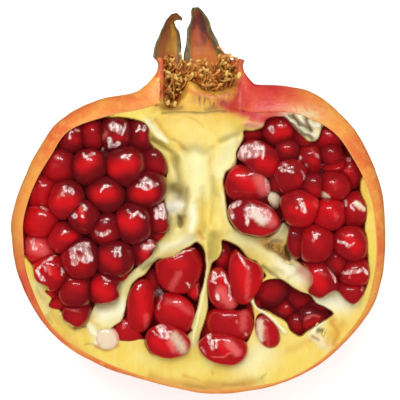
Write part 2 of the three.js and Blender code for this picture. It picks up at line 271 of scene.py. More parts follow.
def bulged(x, y, seen, high):
    """A row of the outline, moved out by the bulge there."""
    turn = math.degrees(math.atan2(y, x)) % 360
    out = GRID * np.interp(turn, BULGE_EVERY * np.arange(len(BULGES) + 1), BULGES + BULGES[:1])
    further = 1 + out / math.hypot(x, y)
    seen += out if out > BULGE_SHOWN and high > HIGH_RIM else 0
    return (round(x * further, 1), round(y * further, 1), round(seen, 2), high)


def loop(rows, count):
    """Points of a smooth closed curve through the rows."""
    rows = np.array(rows, float)
    step = np.arange(count) * len(rows) / count
    near = step.astype(int)
    t = (step - near)[:, None]
    a, b, c, d = (rows[(near + shift) % len(rows)] for shift in (-1, 0, 1, 2))
    return 0.5 * (2 * b + (c - a) * t + (2 * a - 5 * b + 4 * c - d) * t ** 2
                  + (3 * b - a - 3 * c + d) * t ** 3)


fine = loop([bulged(*row) for row in OUTLINE], 5000)
fine_turn = np.arctan2(fine[:, 1], fine[:, 0])


def at_turn(turn, column):
    """A column of the outline at an angle round the fruit; column None is its radius."""
    values = np.hypot(fine[:, 0], fine[:, 1]) if column is None else fine[:, column]
    return np.interp(turn, fine_turn, values, period=2 * math.pi)


def smooth(low, high, value):
    share = np.clip((value - low) / (high - low), 0, 1)
    return share * share * (3 - 2 * share)


def rumple(points, size, seed):
    """Cloudy noise, about -1 to 1, with lumps about size millimetres across."""
    return np.array([noise.noise(Vector(p) / size + Vector((seed, seed * 1.7, 0)))
                     for p in np.asarray(points).reshape(-1, 3)])


def rings(rows, columns):
    """Quads that join closed rings of points, each ring with the same number of points."""
    row, column = np.meshgrid(np.arange(rows - 1), np.arange(columns), indexing="ij")
    after = (column + 1) % columns
    quads = (row * columns + column, row * columns + after,
             (row + 1) * columns + after, (row + 1) * columns + column)
    return np.stack([q.ravel() for q in quads], 1)


turns = np.arange(AROUND) * 2 * math.pi / AROUND
radius, band, rise = (at_turn(turns, column) for column in (None, 2, 3))


def skin_row(inset, height):
    reach = radius - inset
    return np.stack([reach * np.cos(turns), reach * np.sin(turns), WIDEST + height], 1)


skin_rows = []
for degrees in BACK_SLANTS:
    slant = math.radians(degrees)
    reach = math.cos(slant) ** BACK_FULLNESS
    sunk = min(BACK_DEPTH * math.sin(slant) ** BACK_FULLNESS, WIDEST)
    skin_rows.append(skin_row(radius * (1 - reach), -sunk + 0 * radius))
for degrees in RIM_SLANTS:
    slant = math.radians(degrees)
    turned_in = (1 - math.cos(slant)) / (1 - math.cos(math.radians(RIM_SWEEP)))
    lifted = math.sin(slant) / math.sin(math.radians(RIM_SWEEP))
    skin_rows.append(skin_row(band * turned_in, rise * lifted))
for share, drop in LIP_ROWS:
    skin_rows.append(skin_row(band + SKIN_LIP * share, rise - drop))
skin_points = np.concatenate(skin_rows)
skin_height = skin_points[:, 2] - WIDEST
skin_lip = np.zeros(len(skin_points))
skin_lip[-len(LIP_ROWS) * AROUND:] = np.repeat([0.35, 1, 1, 1], AROUND)
calm = np.ones(len(skin_points))
turning_in = (*np.linspace(1, 0, len(RIM_SLANTS)), *[0] * len(LIP_ROWS))
calm[-len(turning_in) * AROUND:] = np.repeat(turning_in, AROUND)
calm *= smooth(0.0, 4.0, skin_points[:, 2])
outward = skin_points - np.array([0, 0, WIDEST])
outward /= np.linalg.norm(outward, axis=1)[:, None]
lumps = sum(height * rumple(skin_points, size, seed) for height, size, seed in LUMPS)

# Round the crown the skin is drawn up into a flare that runs on into the collar.
from_crown = np.hypot(skin_points[:, 0] - CROWN_MIDDLE, np.minimum(skin_height, 0))
flare = np.interp(from_crown, *np.array(FLARE).T)
round_edge = np.tile(radius * np.sin(turns), len(skin_rows))
under = np.where(skin_height > 0, round_edge, skin_points[:, 1])
drawn_up = (flare - under + np.sqrt((flare - under) ** 2 + 0.25)) / 2
drawn_up *= smooth(15, 24, skin_points[:, 1])
drawn_up *= smooth(1, 0.1, skin_height / np.tile(rise, len(skin_rows)))
calm *= smooth(1.5, 0.3, drawn_up)

# The stem broke off and left a woody ring in a shallow dip.
from_stem = np.hypot(skin_points[:, 0] - STEM_AT[0], skin_height - STEM_AT[1])
stem_side = smooth(-20, -28, skin_points[:, 1])
around_stem = np.arctan2(skin_height - STEM_AT[1], skin_points[:, 0] - STEM_AT[0])
woody = 1 + 0.25 * np.sin(9 * around_stem) + 0.15 * np.sin(4 * around_stem + 1)
ring_radius, ring_half, ring_height = STEM_RING
dip_radius, dip_depth = STEM_DIP
stem = ring_height * woody * np.exp(-((from_stem - ring_radius) / ring_half) ** 2)
stem -= dip_depth * np.exp(-(from_stem / dip_radius) ** 2)
stem *= stem_side * smooth(-0.4, -1.6, skin_height)
skin_points = skin_points + outward * (calm * lumps + stem)[:, None]
skin_points[:, 1] += drawn_up

# The skin's torn edge beside the crown's mouth runs straight up from the collar.
aside = skin_points[:, 0] - CROWN_MIDDLE
at_mouth = np.abs(np.abs(aside) - CROWN_HOLE) < MOUTH_SNAP
at_mouth &= (skin_points[:, 1] > CROWN_FROM) & (skin_height > 0)
skin_points[at_mouth, 0] = CROWN_MIDDLE + CROWN_HOLE * np.sign(aside[at_mouth])

skin_faces = rings(len(skin_rows), AROUND)
middle = skin_points[skin_faces].mean(1)
under_crown = np.hypot(middle[:, 0] - CROWN_MIDDLE, np.minimum(middle[:, 2] - WIDEST, 0)) < CROWN_HOLE
skin_faces = skin_faces[~(under_crown & (middle[:, 1] > CROWN_FROM))]

skin_paint = Paint("pomegranate_skin")
blush = skin_paint.noise(16, 4).between(0.45, 0.66)
freckle = skin_paint.noise(2.2, 3, (1, 1, 2.2)).between(0.45, 0.7)
pores = skin_paint.pores(0.55)
scars = skin_paint.noise(7, 5, (1, 1, 1), 0.7).between(0.66, 0.72)
right_shoulder = skin_paint.mask("crimson")
colour = blush.mix(tint(252, 160, 58), tint(244, 112, 38))
colour = (freckle * 0.6).mix(colour, tint(252, 180, 72))
speckle = skin_paint.noise(0.8, 3, (1, 1, 1), 0.7).between(0.56, 0.68)
colour = (speckle * 0.4).mix(colour, tint(196, 76, 24))
ruddy = skin_paint.noise(3.5, 5, (1, 1, 1), 0.65).between(0.35, 0.65)
bruise = skin_paint.noise(1.2, 4).between(0.25, 0.6)
colour = right_shoulder.mix(colour, ruddy.mix(tint(218, 34, 36), tint(232, 74, 44)))
colour = (skin_paint.mask("bleached") * bruise).mix(colour, tint(226, 214, 158))
colour = skin_paint.mask("low").mix(colour, tint(226, 90, 28))
colour = (scars * 0.55).mix(colour, tint(150, 92, 40))
bark = skin_paint.noise(0.8, 4, (1, 1, 1), 0.65)
bark_tone = bark.between(0.3, 0.7).mix(tint(192, 154, 104), tint(136, 98, 62))
from_stem_end = skin_paint.mask("stem")
bark_tone = from_stem_end.between(0.72, 0.9).mix(bark_tone, tint(84, 54, 36))
colour = (from_stem_end.between(0.0, 0.45) * 0.5).mix(colour, tint(216, 156, 74))
colour = (from_stem_end + (bark - 0.5) * 0.3).between(0.42, 0.56).mix(colour, bark_tone)
lip_left = (1 - right_shoulder * 1.7 - skin_paint.mask("bleached")).clamp()
golden_lip = skin_paint.mask("lip") * lip_left
colour = golden_lip.mix(colour, tint(244, 160, 72))


def near(points, x, y, reach_x, reach_y):
    """1 at the place x, y, falling off to 0 round it."""
    return np.exp(-((points[:, 0] - x) / reach_x) ** 2 - ((points[:, 1] - y) / reach_y) ** 2)


before_flare = skin_points - np.outer(drawn_up, (0, 1, 0))
skin_masks = {
    "lip": skin_lip,
    "stem": np.clip(1 - from_stem / dip_radius, 0, 1) * stem_side,
    "low": smooth(-10, -32, skin_height) * 0.6,
    "bleached": 0.8 * smooth(-5, -1, skin_height) * near(skin_points, 22.6, 26.6, 3.6, 1.8),
    "crimson": smooth(-30, -3, skin_height) * np.maximum(
        1.2 * near(before_flare, 13, 31, 9, 7), 0.7 * near(skin_points, -37, -10, 7, 9)),
}
skin = shape("rind_skin", skin_points, skin_faces,
             skin_paint.finish(Base_Color=colour, Roughness=0.42,
                               Normal=skin_paint.bump(pores, 0.05)),
             skin_masks)
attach(skin, "root")
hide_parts("husk")

# ==== Pith, chambers and membranes ================================================================
# One grown body: yellow pith inside the skin, a thick column from the crown down to the middle,
# and three thin walls from there to the pith. Its top is as the knife left it, torn in places.
GRID_ZERO = (199, 240)        # the steps, counted to the right and down, where x and y are 0
STEP = 0.25                   # spacing of the sculpted points
WALL = 0.8                    # a chamber's side slopes over this width
FACE_RISE = 1.2               # the face lies this far above the widest section in the middle
COLUMN_X, COLUMN_HALF, COLUMN_RISE = 0.5, 7.5, 2.4   # the column swells up by this much more
CUP_FROM = 27                 # y where the crown's cup starts
PITH_LIGHT = 1.68             # the face gets a little less light than BRIGHTNESS
PALE_LIGHT = 1.6

LEFT_CHAMBER = (
    61, 141, 57, 150, 50, 155, 46, 163, 41, 175, 34, 180, 29, 195, 27, 205, 24, 215, 23, 225, 24, 240,
    27, 255, 31, 262, 35, 267, 36, 275, 40, 281, 50, 286, 46, 291, 52, 297, 49, 306, 60, 310, 64, 318,
    70, 322, 78, 327, 86, 322, 91, 313, 96, 304, 103, 303, 112, 301, 117, 298, 119, 293, 117, 288,
    120, 283, 126, 277, 132, 271, 140, 265, 147, 258, 152, 252, 156, 244, 161, 238, 166, 232, 169, 226,
    167, 220, 165, 210, 164, 200, 166, 190, 166, 180, 168, 170, 165, 160, 161, 153, 155, 148, 150, 143,
    148, 136, 149, 130, 145, 124, 138, 121, 130, 119, 122, 118, 112, 118, 100, 119, 90, 122, 78, 126,
    70, 128, 64, 134,
)
LOWER_LEFT_CHAMBER = (
    197, 242, 190, 246, 183, 250, 176, 256, 168, 258, 158, 260, 152, 264, 145, 274, 138, 278, 132, 284,
    129, 292, 127, 300, 125, 310, 122, 320, 115, 325, 110, 330, 116, 336, 120, 340, 130, 341, 143, 339,
    146, 345, 150, 352, 158, 355, 168, 356, 178, 355, 185, 350, 188, 343, 188, 335, 192, 330, 190, 325,
    195, 315, 198, 305, 200, 295, 203, 285, 206, 270, 206, 262, 204, 250,
)
LOWER_RIGHT_CHAMBER = (
    222, 240, 232, 243, 240, 248, 248, 258, 256, 262, 262, 270, 266, 276, 260, 282, 254, 290, 250, 300,
    252, 306, 254, 315, 254, 325, 249, 338, 245, 345, 244, 355, 240, 362, 228, 364, 215, 361, 203, 354,
    199, 345, 200, 335, 203, 325, 207, 312, 208, 300, 208, 285, 210, 270, 212, 263, 218, 258, 222, 250,
)
SEED_HOLLOW = (
    256, 317, 262, 313, 268, 318, 275, 326, 279, 336, 278, 343, 272, 347, 266, 345, 259, 338, 255, 328,
)
POCKET_CHAMBER = (
    262, 283, 270, 279, 280, 279, 287, 283, 294, 288, 302, 292, 310, 295, 316, 303, 325, 307, 333, 313,
    328, 318, 322, 322, 312, 328, 306, 332, 302, 336, 298, 336, 290, 330, 286, 322, 276, 316, 268, 311,
    258, 308, 254, 300, 256, 292,
)
RIGHT_CHAMBER = (
    243, 131, 252, 131, 262, 128, 266, 120, 278, 117, 286, 119, 292, 127, 300, 135, 308, 142, 316, 140,
    320, 130, 323, 125, 328, 123, 335, 126, 341, 133, 345, 142, 347, 152, 353, 160, 359, 168, 360, 176,
    359, 186, 360, 195, 364, 205, 365, 215, 363, 228, 365, 237, 366, 250, 367, 262, 368, 274, 366, 285,
    362, 294, 353, 303, 345, 299, 336, 290, 328, 292, 320, 297, 312, 294, 308, 289, 313, 280, 309, 270,
    302, 265, 293, 257, 287, 246, 288, 235, 288, 228, 283, 223, 279, 228, 270, 236, 262, 237, 250, 236,
    240, 232, 232, 226, 228, 218, 226, 205, 224, 190, 223, 182, 226, 172, 235, 168, 236, 160, 236, 152,
    240, 145, 243, 138,
)
CHAMBERS = (                  # outline, height of the floor at its edge and in its middle
    (LEFT_CHAMBER, 0.5, 3.5), (LOWER_LEFT_CHAMBER, -3.0, -1.0), (LOWER_RIGHT_CHAMBER, -3.0, -1.0),
    (SEED_HOLLOW, -2.0, -2.0), (POCKET_CHAMBER, -8.0, -6.5), (RIGHT_CHAMBER, 0.5, 3.0),
)

# Ridges and grooves of the cut face: [half width, height, steps of the line]
RELIEF = (
    (0.9, 0.9, 146, 120, 150, 130, 157, 137, 166, 142),
    (0.6, -0.7, 151, 141, 162, 147, 172, 155, 176, 168),
    (0.35, -0.35, 157, 120, 163, 130, 170, 138, 179, 143, 185, 150),
    (1.1, -0.8, 184, 151, 195, 149, 206, 152), (4.0, 0.5, 196, 166, 196, 186),
    (0.7, -0.6, 176, 160, 178, 184), (0.7, -0.7, 212, 150, 214, 175, 214, 198, 213, 224),
    (1.3, 0.9, 192, 200, 191, 232), (0.7, -0.7, 203, 190, 204, 232),
    (0.8, 1.0, 243, 125, 241, 136, 236, 148, 234, 160, 225, 172, 221, 184, 223, 200, 226, 215, 231, 228),
    (0.7, -0.8, 221, 141, 232, 136, 240, 132), (0.6, -2.2, 180, 217, 180.5, 224),
    (1.1, -0.8, 170, 188, 183, 196), (1.5, 1.0, 167, 207, 182, 206),
    (0.5, -0.8, 186, 190, 187, 205, 184, 215), (0.8, 0.8, 172, 218, 170, 230),
    (0.3, -0.2, 184, 117, 194, 121, 203, 128), (0.4, -0.4, 163, 113, 225, 113),
    (1.4, 0.8, 195, 229, 178, 240, 163, 250, 148, 261, 135, 272, 123, 285, 121, 299),
    (0.7, -0.7, 144, 267, 158, 262), (2.0, 1.2, 104, 314, 122, 309), (0.9, 0.8, 93, 320, 104, 325),
    (1.1, -1.2, 214, 238, 214, 258), (0.7, 0.8, 206, 244, 205, 264, 204, 290, 198, 315, 193, 342),
    (1.8, 0.7, 224, 228, 245, 238, 262, 247, 279, 262, 292, 275, 303, 286),
    (0.9, -1.4, 270, 246, 278, 248, 286, 254), (0.45, -2.0, 288, 246, 289, 257),
    (0.8, 0.9, 281, 222, 279, 232, 270, 240), (0.8, -0.8, 262, 271, 280, 274),
    (0.8, -0.6, 290, 281, 303, 272), (0.6, 0.7, 252, 301, 262, 310, 275, 320, 284, 331),
    (0.9, 0.9, 318, 323, 312, 334, 322, 343), (0.5, -0.9, 319, 330, 323, 331),
    (0.5, -0.9, 313, 336, 318, 340), (0.5, 0.8, 287, 121, 299, 130, 313, 137),
    (0.4, -0.8, 288, 116, 300, 124, 309, 132), (0.5, 0.7, 295, 114, 302, 122, 316, 127),
    (0.6, -0.7, 303, 116, 306, 121), (0.4, -0.6, 311, 120, 318, 130),
    (0.9, 1.0, 240, 124, 252, 124, 262, 128), (1.6, -0.5, 340, 297, 352, 306),
    (0.6, 0.8, 88, 325, 96, 336, 97, 345), (0.8, -0.5, 46, 300, 58, 318, 72, 334),
)

# Colours that lie on the cut face in streaks and patches: [half width, strength, steps of the line]
STAINS = {
    "pale": (
        (3.6, 0.9, 196, 160, 197, 185), (1.9, 0.6, 177, 170, 176, 240), (1.4, 0.9, 192, 195, 190, 232),
        (2.3, 0.9, 220, 172, 226, 158, 233, 142), (1.0, 0.7, 222, 195, 226, 215, 240, 236),
        (2.0, 0.7, 188, 240, 163, 250, 148, 261, 135, 272, 123, 285),
        (1.2, 0.8, 205, 262, 203, 290, 196, 318, 193, 342),
        (2.2, 0.7, 235, 236, 262, 247, 279, 262, 292, 272), (1.6, 0.3, 226, 230, 245, 240, 262, 256),
        (1.0, 0.7, 37, 282, 43, 296, 46, 308),
    ),
    "gold": (
        (0.35, 0.6, 157, 120, 163, 130, 170, 138, 179, 143, 185, 150),
        (0.25, 0.45, 184, 117, 194, 121, 203, 128), (2.2, 0.15, 165, 118, 180, 133, 200, 138, 215, 130),
        (0.7, 0.45, 168, 115, 195, 115, 222, 114), (2.0, 0.3, 168, 119, 195, 120, 224, 119),
        (0.4, 0.25, 203, 192, 204, 235), (0.5, 0.8, 199, 232, 203, 240),
        (0.4, 0.9, 97, 346, 106, 350.5, 119, 345), (0.5, 0.9, 62, 312, 66, 320, 76, 328),
        (1.4, 0.8, 266, 242, 278, 247, 288, 256), (0.7, 0.9, 331, 318, 336, 332, 332, 343),
        (0.9, 0.5, 362, 182, 366, 208), (1.0, 0.3, 40, 292, 50, 310, 60, 322),
        (1.0, 0.5, 56, 330, 75, 345, 90, 358), (1.1, 0.75, 150, 377, 180, 384, 215, 387, 250, 383),
        (0.5, 0.6, 184, 376, 200, 381), (0.8, 0.4, 288, 350, 303, 344, 318, 337),
        (1.2, 0.5, 326, 342, 342, 322), (1.2, 0.6, 196, 98, 214, 101, 226, 100),
    ),
    # Brown: stains and torn lines, and painted shade in the torn holes.
    "brown": (
        (0.22, 0.7, 163, 112, 190, 112.5, 225, 111.5), (0.5, 0.55, 223, 180, 226, 172, 232, 169),
        (0.9, 0.5, 172, 188, 180, 195), (0.3, 0.8, 166, 204, 166.5, 216),
        (0.5, 0.8, 180, 217, 180.5, 224), (0.25, 0.4, 86, 343, 97, 345.5),
        (0.3, 0.8, 64, 312, 69, 320, 72, 318), (0.3, 0.5, 266, 246, 273, 241, 282, 242),
        (0.3, 0.3, 269, 248, 277, 253, 283, 258), (0.4, 0.95, 286, 247, 289, 258),
        (0.35, 0.7, 262, 266, 270, 273, 280, 278), (0.4, 0.6, 319, 330, 323, 331),
        (0.4, 0.5, 314, 337, 318, 340), (0.25, 0.35, 46, 312, 49, 318, 53, 323),
        (0.3, 0.3, 38, 287, 42, 297), (0.25, 0.35, 262, 378, 266, 374),
        (0.3, 0.3, 186, 385, 206, 387.5), (0.2, 0.3, 211, 371, 213, 375),
        (0.3, 0.25, 224, 385, 244, 384), (0.3, 0.3, 330, 349, 326, 354),
        (0.25, 0.5, 352, 305, 357, 298), (0.5, 0.6, 161, 106, 172, 110, 182, 108),
        (0.5, 0.5, 205, 110, 216, 109), (0.3, 0.8, 289, 117, 300, 124, 309, 131),
        (0.5, 0.6, 303, 116, 306, 121), (0.45, 0.95, 293, 117, 299, 126),
        (0.45, 0.95, 305, 119, 309, 131), (0.35, 0.9, 310, 118, 318, 121, 321, 129),
        (0.45, 0.8, 61, 309, 66, 317), (0.35, 0.8, 70, 321, 77, 328, 84, 326),
        (0.35, 0.8, 290, 125, 302, 133, 310, 139),
    ),
    "cream": (
        (0.8, 0.9, 149, 122, 156, 133, 165, 139), (0.7, 0.8, 195, 205, 192, 228),
        (1.0, 0.6, 190, 238, 165, 246), (2.6, 0.9, 104, 314, 122, 309),
        (0.9, 0.9, 90, 326, 96, 336, 97, 343), (0.8, 0.9, 264, 192, 277, 205),
        (2.0, 0.9, 283, 264, 300, 278), (0.5, 0.9, 252, 302, 262, 311, 275, 321, 284, 331),
        (2.4, 0.9, 320, 300, 345, 302), (3.4, 0.5, 262, 352, 250, 362),
        (1.2, 0.8, 320, 321, 314, 334, 323, 344), (1.1, 0.6, 282, 223, 281, 236, 274, 243),
    ),
    # Olive: the pith's own olive patches, and painted shade in grooves, below the plate and under the
    # lips.
    "olive": (
        (0.5, 0.6, 150, 140, 160, 145, 168, 150, 174, 157, 176, 165), (0.7, 0.7, 176, 157, 177, 184),
        (0.9, 0.5, 184, 151, 195, 149, 206, 153), (0.5, 0.4, 213, 178, 215, 196),
        (0.6, 0.5, 221, 141, 232, 136, 240, 133), (1.3, 0.95, 169, 188, 175, 185, 182, 192, 184, 198),
        (0.45, 0.7, 186, 190, 187, 205, 184, 215), (0.8, 0.6, 172, 218, 170, 230),
        (1.5, 0.45, 214, 236, 213, 258), (0.6, 0.7, 143, 268, 160, 261),
        (0.9, 0.45, 206, 385, 232, 384, 260, 380), (0.9, 0.8, 299, 110, 311, 117, 320, 125),
    ),
    "pink": (
        (0.3, 0.4, 237, 142, 236, 166), (1.3, 0.8, 302, 268, 311, 280),
        (0.7, 0.9, 245, 126, 254, 128, 262, 127),
    ),
    # Silver: the pale membranes, with painted wet highlights on them.
    "silver": (
        (1.7, 1.0, 168, 209, 179, 205), (2.4, 0.6, 290, 119, 306, 128, 315, 134),
        (0.8, 1.0, 287, 120, 299, 129, 313, 137), (0.7, 1.0, 295, 114, 302, 122, 316, 127),
    ),
    "thready": (
        (1.1, 1.0, 272, 246, 288, 255), (1.1, 1.0, 202, 101, 214, 103, 222, 103),
        (0.6, 0.7, 208, 96, 236, 94),
    ),
    "crimson": (
        (1.3, 1.0, 222, 104, 236, 110, 252, 118, 265, 122), (1.9, 1.0, 234, 104, 262, 112, 284, 113),
        (1.5, 1.0, 246, 114, 262, 119, 274, 117), (1.0, 0.9, 249, 120, 257, 123, 264, 123),
        (1.0, 1.0, 241, 84, 239, 96, 234, 104), (0.9, 1.0, 242, 86, 242, 108),
    ),
    "orange": (
        (0.9, 0.8, 158, 84, 156, 103), (0.5, 0.7, 188, 92, 205, 96, 222, 96, 236, 90),
        (1.7, 1.0, 72, 120, 52, 148, 34, 178, 24, 215, 22, 250),
        (1.0, 0.5, 150, 103, 120, 108, 90, 114, 72, 122), (1.0, 0.5, 330, 118, 352, 145, 366, 180),
    ),
}


def spot(right, down, *rest):
    """A place x, y in millimetres, to a tenth, from its steps; whatever follows them is kept."""
    x = round((right - GRID_ZERO[0]) * GRID, 1) + 0.0
    y = round((GRID_ZERO[1] - down) * GRID, 1) + 0.0
    return (x, y, *rest)


def spots(steps):
    """The places of a line, from its steps to the right, down, to the right, down and so on."""
    return [spot(*pair) for pair in zip(steps[::2], steps[1::2])]


grid_x, grid_y = np.meshgrid(np.arange(-40.5, 40.6, STEP), np.arange(-33.5, 38.8, STEP),
                             indexing="ij")
flat_points = np.stack([grid_x.ravel(), grid_y.ravel(), 0 * grid_x.ravel()], 1)
stray_x, stray_y = (0.35 * rumple(flat_points, 1.6, k).reshape(grid_x.shape)
                    + 0.5 * rumple(flat_points, 4.5, k).reshape(grid_x.shape) for k in (11, 12))


def to_line(line, x, y, closed=False):
    """Distance from every point x, y to a line of points."""
    line = np.array(line, float)
    ends = np.roll(line, -1, 0) if closed else line[1:]
    nearest = np.hypot(x - line[0][0], y - line[0][1])
    for (ax, ay), (bx, by) in zip(line, ends):
        long = max((bx - ax) ** 2 + (by - ay) ** 2, 1e-9)
        t = np.clip(((x - ax) * (bx - ax) + (y - ay) * (by - ay)) / long, 0, 1)
        nearest = np.minimum(nearest, np.hypot(x - ax - t * (bx - ax), y - ay - t * (by - ay)))
    return nearest


def inside(line):
    """How deep every sculpted point lies inside a closed outline, less than 0 outside it."""
    line = np.array(line, float)
    odd = np.zeros(grid_x.shape, bool)
    for (ax, ay), (bx, by) in zip(line, np.roll(line, -1, 0)):
        crosses = (ay > grid_y) != (by > grid_y)
        rise_over = by - ay if by != ay else 1e-9
        odd ^= crosses & (grid_x < (bx - ax) * (grid_y - ay) / rise_over + ax)
    return np.where(odd, 1, -1) * to_line(line, grid_x, grid_y, closed=True)


def blurred(values, width):
    """The values softened over a width in millimetres."""
    reach = int(3 * width / STEP)
    weights = np.exp(-0.5 * (np.arange(-reach, reach + 1) * STEP / width) ** 2)
    weights /= weights.sum()
    for axis in (0, 1):
        padded = np.pad(values, [(reach, reach) if a == axis else (0, 0) for a in (0, 1)], "edge")
        values = np.apply_along_axis(lambda row: np.convolve(row, weights, "valid"), axis, padded)
    return values


grid_turn = np.arctan2(grid_y, grid_x)
edge_radius = at_turn(grid_turn, None) - at_turn(grid_turn, 2) - SKIN_LIP
edge_rise = at_turn(grid_turn, 3)
share = np.hypot(grid_x, grid_y) / edge_radius
from_edge = edge_radius * (1 - share)

column = np.exp(-((grid_x - COLUMN_X) / COLUMN_HALF) ** 2) * smooth(-6, 6, grid_y)
level = FACE_RISE + COLUMN_RISE * column
level = level + (edge_rise - level) * smooth(0.62, 0.98, share)
soft = rumple(flat_points, 5.5, 2).reshape(grid_x.shape)
ripple = rumple(flat_points * (1, 0.45, 1), 1.3, 7).reshape(grid_x.shape)
relief = 0.35 * soft + 0.10 * ripple
for half_width, height, *steps in RELIEF:
    away = to_line(spots(steps), grid_x + 0.6 * stray_x, grid_y + 0.6 * stray_y)
    relief += height * np.exp(-(away / half_width) ** 2)
level = level + relief * smooth(0, 1.5, from_edge)

chamber = np.zeros(grid_x.shape)
for outline, at_edge, in_middle in CHAMBERS:
    depth = inside(loop(spots(outline), 2 * len(outline)))
    sink = smooth(-0.15, WALL, depth)
    floor = at_edge + (in_middle - at_edge) * smooth(WALL, 7, depth)
    level = level * (1 - sink) + (floor + 0.6 * soft) * sink
    chamber = np.maximum(chamber, smooth(-0.12, 0.12, depth))

stains = {}
for name, rows in STAINS.items():
    stains[name] = np.zeros(grid_x.shape)
    for half_width, strength, *steps in rows:
        away = to_line(spots(steps), grid_x + stray_x, grid_y + stray_y)
        stains[name] = np.maximum(stains[name], strength * np.exp(-(away / half_width) ** 2))
# Painted shade: points lower than the face round them, in creases and hollows, get a darker gold tint.
crease_shade = np.clip((blurred(level, 1.0) - level) / 0.8, -1, 1) * (1 - chamber)

CUP = (                       # y, inner radius of the crown
    (27, 7.4), (27.4, 9.6), (32, 9.8), (33.5, 8.6), (35, 8.3), (39, 8.6),
)
SHOULDERS = (                 # y, height of the flesh above the ledge at the right and left side
    (28.4, 3.6, 1.4), (29.9, 2.95, 1.1), (31.7, 2.1, 0.7), (33.8, 1.0, 0.1), (35, 0.4, 0.1),
)
RIGHT_SHOULDER = (9.4, 34.2)  # the flesh fills the corner under the skin to this x and this y
cup_radius = np.interp(grid_y, *np.array(CUP).T)
off_axis = np.clip(np.abs(grid_x - CROWN_MIDDLE) / cup_radius, 0, 1)
corner = (grid_x > 0) & (grid_x < RIGHT_SHOULDER[0]) & (grid_y < RIGHT_SHOULDER[1])
in_crown = ((np.abs(grid_x - CROWN_MIDDLE) < cup_radius) | corner) & (grid_y > CUP_FROM)
bowl_depth = 6.5 + 2.6 * smooth(33.5, 37.5, grid_y)
bowl = 0.8 * soft + 0.35 * ripple - bowl_depth * np.sqrt(1 - off_axis ** 2)

# The cup's floor: the left half is torn open further down than the right, with the cut style,
# a golden wedge, between them and a golden ledge under the right half.
LEFT_HOLLOW = (
    158, 84, 163, 76, 172, 70, 184, 70, 188, 78, 187, 88, 183, 97, 178, 106, 172, 110, 164, 108,
    159, 99, 156, 92,
)
RIGHT_HOLLOW = (
    186, 72, 200, 68, 220, 66, 236, 70, 240, 78, 238, 86, 228, 91, 212, 93, 202, 91, 196, 86, 190, 82,
)
hollow = smooth(33.8, 35.5, grid_y)
for outline in (LEFT_HOLLOW, RIGHT_HOLLOW):
    hollow = np.maximum(hollow, smooth(-0.2, 1.3, inside(loop(spots(outline), 60))))
hollow = hollow * in_crown
ledge = 1.3 + (0.5 * soft + 0.25 * ripple) * smooth(8.8, 7.4, np.abs(grid_x))
right_up, left_up = (np.interp(grid_y, *np.array(SHOULDERS)[:, [0, k]].T) for k in (1, 2))
ledge += right_up * smooth(6.0, 8.8, grid_x) + left_up * smooth(-6.5, -8.6, grid_x)
level = np.where(in_crown, np.minimum(level, ledge), level)
slope = np.minimum(blurred(hollow, 0.5), np.where(grid_y < 30.2, hollow, 1))
level = level * (1 - slope) + bowl * slope

kept = (share < 1) | in_crown
kept_cell = (kept[:-1, :-1] & kept[1:, :-1] & kept[:-1, 1:] & kept[1:, 1:])
number = np.arange(grid_x.size).reshape(grid_x.shape)
cells = np.stack([number[:-1, :-1], number[1:, :-1], number[1:, 1:], number[:-1, 1:]], -1)
cells = cells[kept_cell]
uses = np.bincount(cells.ravel(), minlength=grid_x.size).reshape(grid_x.shape)
rim = (uses > 0) & (uses < 4) & (share > 0.9) & ~in_crown
flesh_x = np.where(rim, grid_x / share, grid_x)
flesh_y = np.where(rim, grid_y / share, grid_y)
flesh_z = WIDEST + np.where(rim, edge_rise, level)
used = np.flatnonzero(uses.ravel())
renumber = np.zeros(grid_x.size, int)
renumber[used] = np.arange(len(used))
flesh_points = np.stack([flesh_x.ravel(), flesh_y.ravel(), flesh_z.ravel()], 1)[used]
beside = np.abs(grid_x - CROWN_MIDDLE + 2.5 * stray_x)
cup = smooth(27.2, 28.4, grid_y) * smooth(9.2, 7.8, beside) * in_crown
near_skin = smooth(5.0, 0.0, from_edge)
flesh_masks = dict(stains, chamber=chamber, crease_shade=crease_shade, hollow=hollow, cup=cup,
                   near_skin=near_skin)
flesh_masks = {name: values.ravel()[used] for name, values in flesh_masks.items()}

pith = Paint("pith_and_membranes")
cloud = pith.noise(6, 3).between(0.35, 0.65)
fibre = pith.noise(1.1, 3, (1, 3.5, 1)).between(0.4, 0.7)
colour = cloud.mix(tint(253, 229, 112, PITH_LIGHT), tint(249, 213, 82, PITH_LIGHT))
colour = (pith.mask("near_skin") * 0.75).mix(colour, tint(251, 217, 80, PITH_LIGHT))
colour = (fibre * 0.15).mix(colour, tint(255, 246, 184, PALE_LIGHT))
mottle = pith.noise(1.6, 4, (1, 1, 1), 0.65).between(0.55, 0.72) * pith.mask("near_skin")
colour = (mottle * 0.22).mix(colour, tint(196, 150, 50))
cup_tone = pith.noise(1.4, 4).between(0.4, 0.65)
colour = pith.mask("cup").mix(colour, cup_tone.mix(tint(250, 200, 74), tint(240, 178, 56)))
# The stains: olive also paints shade in grooves and under lips, silver paints wet highlights, brown
# paints shade in holes.
for stain, tone in (("pale", tint(248, 241, 178, PALE_LIGHT)),
                    ("cream", tint(254, 250, 214, PALE_LIGHT)),
                    ("olive", tint(186, 164, 84)), ("gold", tint(230, 164, 50)),
                    ("orange", tint(240, 128, 62)), ("crimson", tint(220, 52, 52)),
                    ("pink", tint(240, 160, 142)), ("silver", tint(246, 240, 214)),
                    ("brown", tint(112, 74, 36))):
    colour = pith.mask(stain).mix(colour, tone)
threads = pith.mask("thready") * pith.noise(0.5, 3, (1, 5, 1), 0.6).between(0.44, 0.58)
colour = (threads * 0.9).mix(colour, tint(138, 82, 34))
